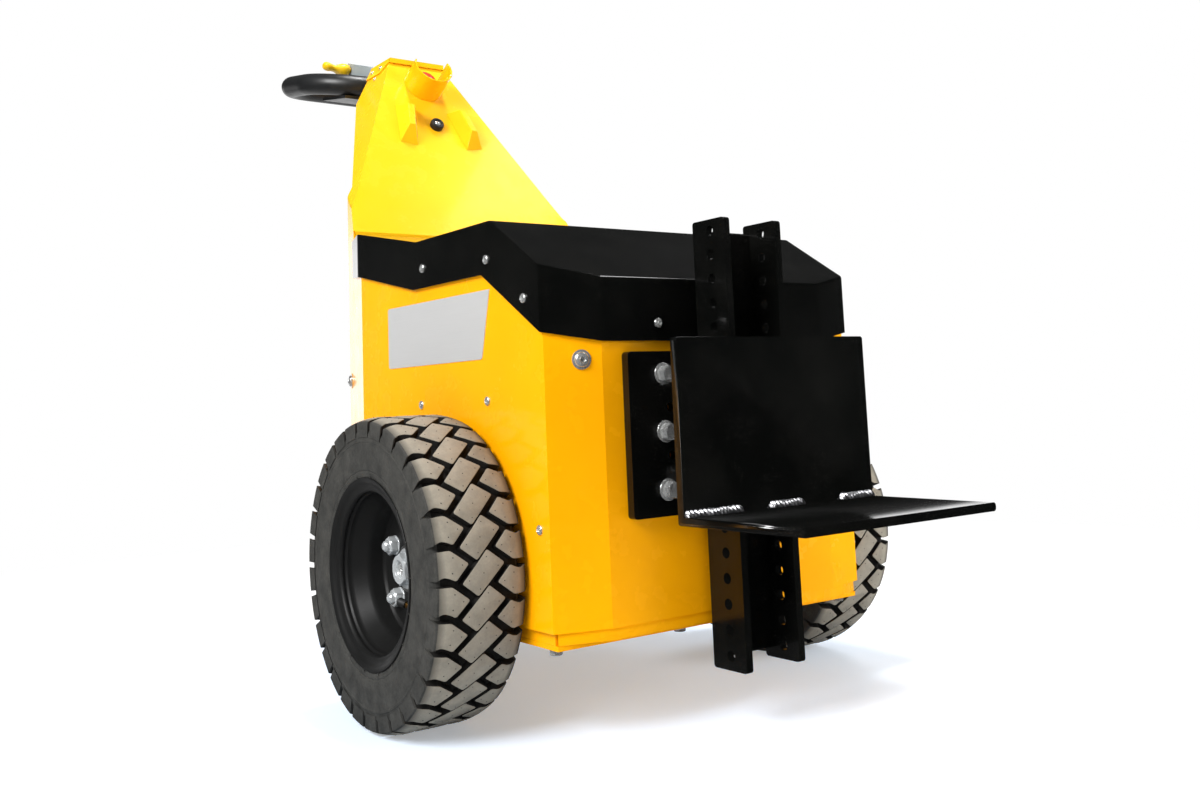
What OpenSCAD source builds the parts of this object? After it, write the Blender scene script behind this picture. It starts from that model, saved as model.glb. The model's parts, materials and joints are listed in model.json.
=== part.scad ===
// Walk behind electric tug: a battery drive unit with two powered wheels, a rear
// castor, a steering handle on a leaning tower and a hitch column with a push bracket.
// Millimetres. +X is the machine's left-right axis, the hitch faces -Y, the operator
// stands at +Y and the floor is at z = 0. Places along Y are written from the drive
// axle, and at_axle() moves them so that the origin is under the middle of the machine.

/* [Drive wheels] */
// Radius of the drive tyre over its tread
tyre_r = 192.5; // [170:0.5:215]
// Width of the drive tyre
tyre_w = 117; // [95:1:130]
// Gap between the drive tyre and the side of the body
wheel_gap = 6.2; // [3:0.1:20]
// Height of the rim flange above the bead seat
rim_flange_h = 11.4; // [9:0.1:14]
// Bead seat radius of the rim
bead_r = 101.6; // [96:0.1:103]
// Bulge of the tyre beyond the rim on each side
tyre_bulge = 6.5; // [4:0.5:9]
// Thickness of the rim's rolled steel
rim_t = 4; // [3:0.5:6]
// Thickness of the wheel disc
disc_t = 8; // [5:0.5:10]
// Outer face of the wheel disc, inwards from the middle of the tyre
disc_inset = 7; // [0:1:15]
// Wheel studs, inwards from the well of the rim
stud_in = 31.6; // [28:0.1:36]
// Number of wheel studs
stud_count = 5; // [4:1:6]
// Radius of a wheel stud
stud_r = 6; // [5:0.5:7]
// Lugs round each shoulder of the tread
lug_count = 30; // [20:1:40]
// Depth of the tread grooves
tread_depth = 9; // [4:0.5:12]

/* [Body shell] */
// Half width of the body between its flat sides
body_half = 252.5; // [245:0.5:254]
// Front face, forwards of the drive axle
body_front = 252; // [235:1:280]
// Half width of the flat front face
front_half = 183; // [170:1:200]
// Where the front corner chamfer meets the side, forwards of the axle
front_corner = 232; // [215:1:234]
// Run of the rear chamfer, from the side to the rear face
rear_chamfer = 177; // [160:1:188]
// Space between the batteries and the electrics behind them
battery_clear = 9.6; // [5:0.1:30]
// Half width of the rear face
rear_half = 196; // [185:1:215]
// Drop of the base plate's upper face below the drive axle
belly_drop = 74.5; // [70:0.5:80]
// Rise of the battery deck above the drive axle
deck_rise = 93.5; // [90:0.5:105]
// Lower edge of the shell above the base plate
shell_lift = 14; // [8:1:20]
// Thickness of the body sheet
sheet_t = 2.5; // [1.5:0.1:4]

/* [Cowl] */
// Gap between the shell and the cowl, taken by spacers under the screws
cowl_gap = 2.5; // [1:0.1:5]
// Thickness of the cowl sheet
cowl_t = 3; // [2:0.1:5]
// Height of the cowl's ridge above the battery cases
battery_headroom = 110; // [60:1:130]
// Drop of the cowl's front edge below its ridge
cowl_front_drop = 83; // [60:1:95]
// Rise of the deck behind the rear slope above the ridge
cowl_rear_rise = 38; // [20:1:45]
// Rise of the fold where the tower leaves the body above the cowl
fold_rise = 21; // [14:1:30]
// Ridge line, forwards of the axle
cowl_ridge_y = 128; // [115:1:140]
// Start of the rear slope, behind the axle
cowl_valley_y = 77; // [65:1:90]
// End of the rear slope, behind the axle
cowl_slope_end = 268; // [255:1:280]
// Depth of the cowl's front band
cowl_band = 77; // [65:1:90]
// Depth of the cowl's side band
side_band = 66; // [50:1:75]

/* [Tower] */
// Half width of the tower at its top
tower_top_half = 53; // [48:1:60]
// Half width of the tower where its straight side edge begins
tower_low_half = 190; // [180:1:195]
// Rise from the fold to where the straight side edge begins
tower_low_rise = 85; // [75:1:88]
// Rise of the tower's top above the fold
tower_rise = 365; // [350:1:385]
// Foot of the tower face, forwards of the rear of the body
tower_foot_in = 80; // [74:1:88]
// Run of the tower face from its foot to its top
tower_run = 203; // [190:1:215]
// Depth of the tower's head, front to back
tower_head_d = 77; // [70:1:90]
// Drop from the tower's top to the fold under its head
tower_chin_drop = 72; // [60:1:85]
// Rise from the fold to where the leaning back starts
tower_back_rise = 90; // [86:1:100]

/* [Mount plate] */
// Half width of the mount plate
mount_half = 154; // [145:1:160]
// Height of the mount plate
mount_h = 198; // [185:1:205]
// Gap between the mount plate and the cowl above it
mount_gap = 13; // [8:1:25]
// Thickness of the mount plate
mount_t = 12; // [8:1:16]
// Mount plate bolts, inwards from the side edge
mount_bolt_in = 53; // [30:1:60]
// Lowest bolts above the lower edge of the plate
mount_bolt_rise = 31.5; // [24:0.5:40]
// Highest bolts below the upper edge of the plate
mount_bolt_drop = 27.5; // [24:0.5:40]
// Radius of the bolt shanks
mount_bolt_r = 8; // [6:0.5:9]
// Spare threaded holes, inwards from the side edge
spare_in = 63; // [58:1:75]
// Distance between the spare holes up the plate
spare_step = 58; // [50:1:62]
// Radius of the spare holes
spare_r = 6; // [4:0.5:7]

/* [Hitch column] */
// Width over the two column plates
column_w = 95.8; // [90:0.2:105]
// Thickness of the column plates
column_t = 10; // [8:0.5:12]
// Depth of the column, front to back
column_d = 58; // [52:1:64]
// Space between the column and the mount plate
column_gap = 6; // [3:1:10]
// Lower end of the column above the floor
column_low = 70; // [50:1:90]
// Number of cross holes up each plate
hole_count = 18; // [14:1:19]
// Pitch of the cross holes
hole_pitch = 30; // [29:0.1:31]
// Radius of the cross holes
hole_r = 6.5; // [5:0.5:7.5]
// Margin from the top hole to the end of the plate
hole_margin = 14; // [10:1:20]
// Radius of the cross pins
pin_r = 6; // [4:0.5:6.2]

/* [Push bracket] */
// Width of the push bracket
bracket_w = 310; // [280:1:340]
// Lower face of the shelf below the mount plate
shelf_drop = 2; // [1:0.5:20]
// Upper edge of the bracket's upright plate above the mount plate
bracket_over = 11.5; // [4:0.5:30]
// Thickness of the bracket plates
bracket_t = 10; // [8:0.5:12]
// Reach of the shelf in front of the upright plate
shelf_reach = 182; // [140:1:220]
// Space between the column and the bracket's upright plate
bracket_gap = 18; // [12:1:24]

/* [Castor] */
// Radius of the castor wheel
castor_r = 80; // [65:1:85]
// Width of the castor wheel
castor_w = 50; // [40:1:56]
// Trail of the castor wheel behind its swivel
castor_trail = 55; // [45:1:60]
// Gap between the castor wheel and the fork's crown
castor_crown_gap = 22; // [12:1:32]
// Swivel axis forwards of the rear of the body
castor_in = 138; // [134:1:145]

/* [Handle] */
// Half width of the handle loop, to the middle of its tube
loop_half = 140; // [135:1:155]
// Radius of the handle tube
loop_r = 20.5; // [17:0.5:23]
// Front cross bar of the loop, behind the tower's head
loop_gap = 22.5; // [22:0.5:30]
// Drop of the front cross bar below the tower's top
loop_drop = 28; // [24:1:30]
// Length of the loop, to the middle of its tube
loop_run = 226; // [210:1:250]
// Corner radius at the front of the loop
loop_front_corner = 100; // [80:1:115]
// Corner radius at the rear of the loop
loop_rear_corner = 60; // [45:1:80]
// Upward tilt of the loop towards the operator
loop_tilt = 10.8; // [6:0.1:14]
// Half width of the console
console_half = 52; // [46:1:60]
// Length of the console
console_run = 128; // [110:1:150]
// Thickness of the console
console_t = 26; // [20:1:32]
// Upward tilt of the console
console_tilt = 19; // [12:0.5:20]
// Travel of the thumb lever each way
lever_travel = 25; // [10:1:30]

/* [Hidden] */
$fn = 64;
hex = 6;
half = 0.5;
// One overrun for every cut
over = 1;
// Clearance of a running shaft in its bearing
run_fit = 0.05;
// Clearance of a fixed piece in its seat
seat_fit = 0.1;
// Clearance between neighbours that don't touch
clear = 0.5;

// Heights and places that the driving sizes give, along Y from the drive axle
axle_z = tyre_r;
wheel_x = body_half + wheel_gap + tyre_w*half;
rim_w = tyre_w - 2*tyre_bulge;
rim_flange_r = bead_r + rim_flange_h;
chassis_t = 6;
upright_w = 16;
rack_t = 3;
battery_y = 14;
battery_l = 330;
battery_h = 222;
controller_d = 62;
controller_fin_share = 0.2;
electrics_d = controller_d*(1 + controller_fin_share) + rack_t + upright_w + clear + sheet_t;
body_rear = battery_y + battery_l + battery_clear + electrics_d;
rear_corner = body_rear - rear_chamfer;
chassis_gap = 4;
chassis_half = body_half - sheet_t - chassis_gap;
chassis_low = axle_z - belly_drop;
body_low = chassis_low + shell_lift;
deck_z = axle_z + deck_rise;
cowl_ridge_z = deck_z + chassis_t + battery_h + battery_headroom;
cowl_front_z = cowl_ridge_z - cowl_front_drop;
cowl_rear_z = cowl_ridge_z + cowl_rear_rise;
fold_z = cowl_rear_z + fold_rise;
tower_low_z = fold_z + tower_low_rise;
tower_back_z = fold_z + tower_back_rise;
tower_top_z = fold_z + tower_rise;
tower_chin_z = tower_top_z - tower_chin_drop;
tower_foot_y = body_rear - tower_foot_in;
tower_head_y = tower_foot_y + tower_run;
tower_rear_y = tower_head_y + tower_head_d;
mount_high = cowl_front_z - cowl_band - mount_gap;
mount_low = mount_high - mount_h;
mount_bolt_x = mount_half - mount_bolt_in;
mount_bolt_step = (mount_h - mount_bolt_rise - mount_bolt_drop)*half;
mount_bolt_z = mount_low + mount_bolt_rise + mount_bolt_step;
spare_x = mount_half - spare_in;
shelf_low = mount_low - shelf_drop;
bracket_high = mount_high + bracket_over;
loop_front_y = tower_rear_y + loop_gap;
loop_front_z = tower_top_z - loop_drop;
castor_y = body_rear - castor_in;
castor_plate_t = 8;
race_h = 14;
crown_t = 8;
castor_h = 2*castor_r + castor_crown_gap + crown_t + race_h + castor_plate_t;

// Ends of the machine, which set the origin
column_front = body_front + mount_t + column_gap + column_d;
bracket_face = column_front + bracket_gap + bracket_t;
front_reach = bracket_face + shelf_reach;
loop_rear_y = loop_front_y + loop_run*cos(loop_tilt);
rear_reach = loop_rear_y + loop_r;
axle_y = (front_reach - rear_reach)*half;

module at_axle() { translate([0, axle_y, 0]) children(); }

// A block between two corners
module block(a, b) { translate(a) cube(b - a); }

// A shape and its mirror image on the other side
module both_sides() {
    children();
    mirror([1, 0, 0]) children();
}

// A round bar along X between two places
module bar_x(r, x0, x1) { translate([x0, 0, 0]) rotate([0, 90, 0]) cylinder(r = r, h = x1 - x0); }

// A prism along X from an outline of [y, z] points
module prism_x(outline, x0, x1) {
    translate([x0, 0, 0]) rotate([90, 0, 90]) linear_extrude(x1 - x0) polygon(outline);
}

// A prism along Y from an outline of [x, z] points
module prism_y(outline, y0, y1) {
    translate([0, y1, 0]) rotate([90, 0, 0]) linear_extrude(y1 - y0) polygon(outline);
}

// A left-right symmetric outline from its right half
function mirrored(pts) = concat(pts, [for (i = [len(pts) - 1:-1:0]) [-pts[i][0], pts[i][1]]]);

// A screw along -Z with its head above z = 0: button head, washer and shank
module button_screw(head_r, head_h, shank_r, shank_l) {
    dome_r = (head_r*head_r + head_h*head_h)/(2*head_h);
    intersection() {
        translate([0, 0, head_h - dome_r]) sphere(r = dome_r);
        cylinder(r = head_r, h = head_h);
    }
    translate([0, 0, -shank_l]) cylinder(r = shank_r, h = shank_l);
}

// A flanged hexagon bolt along -Z with its flange on z = 0
module flange_bolt(shank_r, shank_l) {
    flange_h = shank_r*half;
    cylinder(r = shank_r*2.1, h = flange_h);
    cylinder(r = shank_r*1.75, h = flange_h + shank_r*1.3, $fn = hex);
    translate([0, 0, -shank_l]) cylinder(r = shank_r, h = shank_l);
}

// Drive wheel, drawn with its axis on X and its outer side at +X

tyre_half = tyre_w*half;
rim_half = rim_w*half;
bead_w = 16;
carcass_t = 15;
crown_drop = 4;
shoulder_r = tyre_r - crown_drop;
tyre_crown_t = 26;
chamber_r = tyre_r - tyre_crown_t;
sidewall_share = 0.516;
sidewall_r = rim_flange_r + (tyre_r - rim_flange_r)*sidewall_share;
ring_line_in = 28;
ring_line_r = tyre_r - ring_line_in;
ring_line_h = 1.2;
ring_line_w = 3;
notch_share = 0.26;
lug_reach = 26;

module left_at(x) { at_axle() translate([-x, 0, axle_z]) mirror([1, 0, 0]) children(); }
module right_at(x) { at_axle() translate([x, 0, axle_z]) children(); }

module wheel_turned(outline) { rotate([0, 90, 0]) rotate_extrude($fn = 96) polygon(outline); }

module tyre() {
    foot = bead_r + seat_fit;
    color([0.24, 0.22, 0.2])
    difference() {
        union() {
            wheel_turned(mirrored_profile([
                [foot, rim_half - rim_t - seat_fit], [rim_flange_r + clear, rim_half - rim_t - seat_fit],
                [rim_flange_r + clear, rim_half], [rim_flange_r + 3*tyre_bulge, tyre_half - tyre_bulge*0.2],
                [sidewall_r, tyre_half], [shoulder_r - tread_depth, tyre_half],
                [shoulder_r, tyre_half - crown_drop], [tyre_r, tyre_half*0.6]]));
            for (s = [-1, 1])
                wheel_turned([
                    [ring_line_r, s*(tyre_half - ring_line_w)], [ring_line_r, s*(tyre_half + ring_line_h)],
                    [ring_line_r + ring_line_w, s*(tyre_half + ring_line_h)],
                    [ring_line_r + ring_line_w, s*(tyre_half - ring_line_w)]]);
        }
        for (i = [0:lug_count - 1], s = [-1, 1])
            rotate([(i + (s + 1)*0.25)*360/lug_count, 0, 0]) shoulder_notch(s);
        wheel_turned([
            [foot - over, -(rim_half - bead_w)], [rim_flange_r, -(rim_half - bead_w)],
            [sidewall_r, -(tyre_half - carcass_t)], [chamber_r, -(tyre_half - 2*carcass_t)],
            [chamber_r, tyre_half - 2*carcass_t], [sidewall_r, tyre_half - carcass_t],
            [rim_flange_r, rim_half - bead_w], [foot - over, rim_half - bead_w]]);
    }
}

module shoulder_notch(s) {
    notch_w = 2*PI*tyre_r/lug_count*notch_share;
    translate([s*tyre_half - lug_reach, -notch_w*half, tyre_r - tread_depth])
        cube([2*lug_reach, notch_w, 2*tread_depth]);
}

function mirrored_profile(pts) =
    concat(pts, [for (i = [len(pts) - 1:-1:0]) [pts[i][0], -pts[i][1]]]);

well_depth = 14;
well_r = bead_r - well_depth;
stud_pcd = 2*(well_r - stud_in);
disc_face = -disc_inset;
hub_hole_r = 30;

module rim() {
    color([0.12, 0.12, 0.13])
    difference() {
        union() {
            wheel_turned([
                [rim_flange_r, rim_half], [rim_flange_r, rim_half - rim_t],
                [bead_r, rim_half - rim_t], [bead_r, rim_half - bead_w - rim_t],
                [well_r, rim_half - 2*bead_w], [well_r, -(rim_half - 2*bead_w)],
                [bead_r, -(rim_half - bead_w - rim_t)], [bead_r, -(rim_half - rim_t)],
                [rim_flange_r, -(rim_half - rim_t)], [rim_flange_r, -rim_half],
                [bead_r - rim_t, -rim_half], [bead_r - rim_t, -(rim_half - bead_w)],
                [well_r - rim_t, -(rim_half - 2*bead_w - rim_t)],
                [well_r - rim_t, rim_half - 2*bead_w - rim_t],
                [bead_r - rim_t, rim_half - bead_w], [bead_r - rim_t, rim_half]]);
            bar_x(well_r - rim_t*half, disc_face - disc_t, disc_face);
        }
        bar_x(hub_hole_r, disc_face - disc_t - over, disc_face + over);
        for (i = [0:stud_count - 1])
            rotate([stud_turn + i*360/stud_count, 0, 0]) translate([0, stud_pcd*half, 0])
                bar_x(stud_r + clear, disc_face - disc_t - over, disc_face + over);
        rotate([valve_turn, 0, 0]) translate([valve_seat_x, valve_seat_r, 0])
            rotate([0, 0, -valve_lean]) bar_x(valve_r + seat_fit, -valve_l, valve_l);
    }
}

stud_turn = 26;
hub_rim = 16;
hub_flange_r = stud_pcd*half + hub_rim;
hub_flange_t = 12;
hub_nose = 17;
shaft_r = 15;
shaft_end = 9;
nut_flats_r = 11;
nut_h = 11;
nut_dome_r = 8.5;

module hub() {
    back = disc_face - disc_t - seat_fit;
    color([0.35, 0.35, 0.36]) {
        difference() {
            union() {
                bar_x(hub_flange_r, back - hub_flange_t, back);
                bar_x(hub_hole_r - seat_fit, back - over, disc_face + hub_nose*half);
            }
            bar_x(shaft_r + seat_fit*half, back - hub_flange_t - over, disc_face + hub_nose);
        }
        for (i = [0:stud_count - 1])
            rotate([stud_turn + i*360/stud_count, 0, 0]) translate([0, stud_pcd*half, 0])
                bar_x(stud_r, back - over, disc_face + nut_h);
    }
}

module wheel_nuts() {
    color([0.78, 0.79, 0.8]) {
        for (i = [0:stud_count - 1])
            rotate([stud_turn + i*360/stud_count, 0, 0])
                translate([disc_face, stud_pcd*half, 0]) dome_nut(stud_r);
        translate([disc_face + hub_nose*half, 0, 0]) centre_nut();
    }
}

module dome_nut(r) {
    difference() {
        union() {
            rotate([0, 90, 0]) cylinder(r = nut_flats_r, h = nut_h, $fn = hex);
            translate([nut_h, 0, 0]) sphere(r = nut_dome_r);
        }
        bar_x(r + seat_fit*half, -over, nut_h + seat_fit);
        bar_x(nut_flats_r*2, -nut_flats_r*2, 0);
    }
}

module centre_nut() {
    nut_t = shaft_end*1.4;
    difference() {
        union() {
            bar_x(shaft_r*1.7, 0, rim_t*half);
            rotate([0, 90, 0]) cylinder(r = shaft_r*1.35, h = nut_t, $fn = hex);
        }
        bar_x(shaft_thread_r + seat_fit*half, -over, nut_t + over);
    }
}

shaft_thread_r = 10;
valve_turn = 205;
valve_lean = 55;
valve_r = 4;
valve_l = 36;
valve_sink = 3;
valve_in = 9;
valve_seat_r = well_r + valve_sink;
valve_seat_x = rim_half - bead_w - valve_in;

module valve() {
    color([0.6, 0.5, 0.3])
    rotate([valve_turn, 0, 0]) translate([valve_seat_x, valve_seat_r, 0])
        rotate([0, 0, -valve_lean]) {
            bar_x(valve_r*1.4, -rim_t*2.6, -rim_t*1.9);
            bar_x(valve_r, -rim_t*2.6, valve_l*0.7);
        }
    color([0.1, 0.1, 0.1])
    rotate([valve_turn, 0, 0]) translate([valve_seat_x, valve_seat_r, 0])
        rotate([0, 0, -valve_lean]) bar_x(valve_r*1.3, valve_l*0.55, valve_l*0.85);
}

module left_tyre() { left_at(wheel_x) tyre(); }
module right_tyre() { right_at(wheel_x) tyre(); }
module left_rim() { left_at(wheel_x) rim(); }
module right_rim() { right_at(wheel_x) rim(); }
module left_hub() { left_at(wheel_x) hub(); }
module right_hub() { right_at(wheel_x) hub(); }
module left_wheel_nuts() { left_at(wheel_x) wheel_nuts(); }
module right_wheel_nuts() { right_at(wheel_x) wheel_nuts(); }
module left_valve() { left_at(wheel_x) valve(); }
module right_valve() { right_at(wheel_x) valve(); }

// Drive: transaxle, shafts, bearings, motor and brake, all on the drive axle

case_half = 48;
case_gap = 2.5;
case_r = belly_drop - case_gap;
shaft_inner = case_half*0.3;
tube_r = 38;
tube_wall = 7;
hub_back_gap = 6;
tube_end = wheel_x - disc_inset - disc_t - hub_flange_t - hub_back_gap;
bearing_w = 16;
bearing_in = 1;
motor_y = 122;
motor_r = 55;
motor_deck_gap = 8.5;
motor_z = deck_rise - motor_deck_gap - motor_r;
motor_end_gap = 14;
motor_l = chassis_half - chassis_t - case_half - motor_end_gap;
fin_count = 9;
fin_depth = 3;
pinion_r = 52;
brake_r = 46;
brake_l = 45;

module half_shaft() {
    thread_start = disc_face + hub_nose*half;
    color([0.6, 0.6, 0.62]) {
        bar_x(shaft_r, shaft_inner - wheel_x, thread_start);
        bar_x(shaft_thread_r, thread_start - over, thread_start + shaft_end);
    }
}
module left_half_shaft() { left_at(wheel_x) half_shaft(); }
module right_half_shaft() { right_at(wheel_x) half_shaft(); }

module axle_bearings() {
    color([0.7, 0.7, 0.72])
    at_axle() translate([0, 0, axle_z]) both_sides()
        difference() {
            bar_x(tube_r - tube_wall - seat_fit*half, tube_end - bearing_w, tube_end - bearing_in);
            bar_x(shaft_r + run_fit, tube_end - bearing_w - over, tube_end);
        }
}

module transaxle_case() {
    color([0.45, 0.46, 0.48])
    at_axle() translate([0, 0, axle_z])
        difference() {
            union() {
                bar_x(case_r, -case_half, case_half);
                translate([0, motor_y, motor_z]) bar_x(pinion_r, -case_half, case_half);
                prism_x([[0, -case_r*0.9], [motor_y, motor_z - pinion_r*0.9],
                    [motor_y, motor_z + pinion_r*0.9], [0, case_r*0.9]], -case_half, case_half);
                both_sides() bar_x(tube_r, case_half - over, tube_end);
            }
            bar_x(tube_r - tube_wall, -tube_end - over, tube_end + over);
        }
}

module drive_motor() {
    fin_step = motor_l/fin_count;
    color([0.16, 0.16, 0.17])
    at_axle() translate([0, motor_y, axle_z + motor_z]) {
        bar_x(motor_r - fin_depth, case_half + seat_fit, case_half + motor_l);
        for (i = [0:fin_count - 1])
            bar_x(motor_r, case_half + seat_fit + i*fin_step, case_half + (i + half)*fin_step);
    }
}

module motor_brake() {
    color([0.3, 0.3, 0.32])
    at_axle() translate([0, motor_y, axle_z + motor_z]) {
        bar_x(brake_r, -case_half - brake_l, -case_half - seat_fit);
        bar_x(brake_r*0.4, -case_half - brake_l*1.2, -case_half - brake_l + over);
    }
}

// Body: chassis, base plate, shell, rear panel and cowl

function body_plan(out) = mirrored([
    [front_half + out*0.2, -body_front - out], [body_half + out, -front_corner - out*0.3],
    [body_half + out, rear_corner + out*0.2], [rear_half + out, body_rear + out*0.2]]);

module plan(out, z0, z1) { translate([0, 0, z0]) linear_extrude(z1 - z0) polygon(body_plan(out)); }

panel_in = 26;
panel_drop = 15;
panel_h = 256;
panel_lap = 20;
panel_half = rear_half - panel_in;
panel_high = fold_z - panel_drop;
panel_low = panel_high - panel_h;
window_half = panel_half - panel_lap;
window_low = panel_low + panel_lap;
window_high = panel_high - panel_lap;
rear_wall_rise = 20;
rear_slot_in = 6;
axle_hole_gap = 12;
axle_hole_r = tube_r + axle_hole_gap;

// Top edge of the shell in [y, z], hidden behind the cowl and under the tower
function shell_side() = [
    [-body_front - over, body_low], [body_rear + over, body_low],
    [body_rear + over, fold_z], [tower_foot_y, fold_z],
    [tower_foot_y, cowl_rear_z - cowl_t*2], [cowl_slope_end, cowl_rear_z - cowl_t*2],
    [cowl_valley_y, cowl_ridge_z - cowl_t*2], [-cowl_ridge_y, cowl_ridge_z - cowl_t*2],
    [-body_front - over, cowl_front_z - cowl_t*2]];

module body_shell() {
    color([1, 0.72, 0.02])
    at_axle()
        difference() {
            intersection() {
                difference() {
                    plan(0, body_low, fold_z);
                    plan(-sheet_t, body_low - over, fold_z + over);
                }
                prism_x(shell_side(), -body_half - over, body_half + over);
            }
            block([-window_half, body_rear - 2*sheet_t, window_low],
                [window_half, body_rear + over, window_high]);
            block([rear_slot_in - rear_half, body_rear - 2*sheet_t, body_low - over],
                [rear_half - rear_slot_in, body_rear + over, castor_h + rear_wall_rise]);
            translate([0, 0, axle_z]) bar_x(axle_hole_r, -body_half - over, body_half + over);
            for (x = [-1, 1], i = [-1:1])
                translate([x*mount_bolt_x, -body_front - over, mount_bolt_z + i*mount_bolt_step])
                    rotate([-90, 0, 0]) cylinder(r = mount_bolt_r + seat_fit, h = sheet_t + 2*over);
            shell_fixings() cylinder(r = fixing_r + seat_fit, h = fixing_l, center = true);
            side_fixings() cylinder(r = small_r + seat_fit, h = fixing_l, center = true);
            panel_screw_places() cylinder(r = small_r + seat_fit, h = fixing_l, center = true);
        }
}

upright_in = 18;
upright_half = rear_half - upright_in;
beam_z = castor_h;
beam_t = 8;
beam_run = 112;
front_wall_t = 10;

module chassis_frame() {
    front_y = body_front - sheet_t;
    deck_top = deck_z + chassis_t;
    color([0.9, 0.66, 0.05])
    at_axle()
        difference() {
            union() {
                both_sides() block([chassis_half - chassis_t, -front_corner + chassis_t, chassis_low],
                    [chassis_half, rear_corner - chassis_t, deck_top]);
                block([-front_half + chassis_t, -front_y, chassis_low],
                    [front_half - chassis_t, -front_y + front_wall_t, mount_high + chassis_t]);
                for (z = [chassis_low, deck_z])
                    block([-front_half + 2*chassis_t, -front_y + front_wall_t - over, z],
                        [front_half - 2*chassis_t, over - front_corner + chassis_t, z + chassis_t]);
                block([-chassis_half + over, chassis_t - front_corner, chassis_low],
                    [chassis_half - over, 2*chassis_t - front_corner, deck_top]);
                block([-chassis_half + over, chassis_t - front_corner, deck_z],
                    [chassis_half - over, rear_corner - chassis_t, deck_top]);
                block([-upright_half - upright_w, rear_corner - chassis_t - over, deck_z],
                    [upright_half + upright_w, body_rear - sheet_t - clear, deck_top]);
                both_sides()
                    block([upright_half - upright_w, body_rear - upright_w - sheet_t - clear, beam_z],
                        [upright_half, body_rear - sheet_t - clear, tower_back_z - chassis_t]);
                block([-upright_half, castor_y - beam_run, beam_z],
                    [upright_half, body_rear - sheet_t - clear, beam_z + beam_t]);
                both_sides() block([upright_half - chassis_t, castor_y - beam_run, beam_z],
                    [upright_half, body_rear - sheet_t - clear, deck_top]);
            }
            translate([0, 0, axle_z]) bar_x(tube_r + seat_fit, -body_half, body_half);
            for (x = [-1, 1], i = [-1:1])
                translate([x*mount_bolt_x, -body_front, mount_bolt_z + i*mount_bolt_step])
                    rotate([-90, 0, 0]) cylinder(r = mount_bolt_r + seat_fit*half, h = body_front*0.1);
            castor_bolt_places() cylinder(r = castor_bolt_r + seat_fit, h = beam_z, center = true);
        }
}

base_in = 6;
base_gap = 17;
base_half = body_half - base_in;
base_rear = castor_y - castor_trail - castor_r - base_gap;
base_bolt_mid = 50;
base_bolt_side = 11.5;
base_bolt_front = 22;
base_bolt_back = 36.5;
base_bolt_r = 4;

module base_plate() {
    color([0.95, 0.7, 0.05])
    at_axle()
        difference() {
            block([-base_half, -front_corner, chassis_low - chassis_t], [base_half, base_rear, chassis_low]);
            base_bolt_places() translate([0, 0, chassis_low])
                cylinder(r = base_bolt_r + seat_fit, h = 4*chassis_t, center = true);
        }
}

module base_bolt_places() {
    for (x = [base_bolt_mid, base_half - base_bolt_side], s = [-1, 1],
        y = [base_bolt_front - front_corner, base_rear - base_bolt_back])
        translate([s*x, y, 0]) children();
}

module base_bolts() {
    color([0.8, 0.8, 0.82])
    at_axle() base_bolt_places()
        translate([0, 0, chassis_low - chassis_t]) rotate([180, 0, 0]) {
            cylinder(r = base_bolt_r*2.2, h = base_bolt_r*half);
            cylinder(r = base_bolt_r*1.9, h = base_bolt_r*1.9, $fn = hex);
            translate([0, 0, -chassis_t]) cylinder(r = base_bolt_r, h = chassis_t);
        }
}

panel_screw_side = 10;
panel_screw_in = 8;

module panel_screw_places() {
    for (x = [-1, 1], z = [panel_low + panel_screw_in, panel_high - panel_screw_in])
        translate([x*(panel_half - panel_screw_side), body_rear, z]) rotate([-90, 0, 0]) children();
}

module rear_access_panel() {
    color([1, 0.72, 0.02])
    at_axle()
        difference() {
            block([-panel_half, body_rear, panel_low], [panel_half, body_rear + cowl_t, panel_high]);
            panel_screw_places() cylinder(r = small_r + seat_fit, h = fixing_l, center = true);
        }
}

module rear_panel_screws() {
    color([0.8, 0.8, 0.82])
    at_axle() panel_screw_places()
        translate([0, 0, cowl_t]) button_screw(small_head_r, small_head_h, small_r, cowl_t + sheet_t);
}

// Cowl outline in [y, z]: its top, then its lower edge, lifted by up
cowl_rear_y = tower_foot_y - sheet_t;
cowl_out = cowl_gap + cowl_t;
cowl_tail = 72;
cowl_end_y = rear_corner + cowl_tail;
cowl_corner_rise = 13;

function cowl_top(drop) = [
    [-body_front - cowl_out, cowl_front_z - drop], [-cowl_ridge_y, cowl_ridge_z - drop],
    [cowl_valley_y, cowl_ridge_z - drop], [cowl_slope_end, cowl_rear_z - drop],
    [cowl_rear_y, cowl_rear_z - drop]];

function cowl_foot() = [
    [cowl_rear_y, cowl_rear_z - side_band + cowl_t*3], [cowl_slope_end, cowl_rear_z - side_band],
    [cowl_valley_y + 4*cowl_t, cowl_ridge_z - side_band],
    [-cowl_ridge_y + 9*cowl_t, cowl_ridge_z - side_band],
    [-front_corner, cowl_front_z - cowl_band + cowl_corner_rise],
    [-body_front - cowl_out, cowl_front_z - cowl_band]];

module top_cowl() {
    wide = body_half + 2*cowl_out;
    top = tower_top_z;
    color([0.03, 0.03, 0.03])
    at_axle()
        difference() {
            intersection() {
                plan(cowl_out, body_low, top);
                prism_x(concat(cowl_top(0), cowl_foot()), -wide, wide);
            }
            intersection() {
                plan(cowl_gap, body_low, top);
                prism_x(concat([[-body_front - cowl_out - over, body_low]], cowl_top(cowl_t),
                    [[cowl_rear_y + over, cowl_rear_z - cowl_t], [cowl_rear_y + over, body_low]]),
                    -wide, wide);
            }
            difference() {
                block([-wide, cowl_end_y, body_low], [wide, body_rear, top]);
                plan(-sheet_t - clear, body_low - over, top + over);
            }
            cowl_fixings() cylinder(r = small_r + seat_fit, h = fixing_l, center = true);
        }
}

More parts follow.
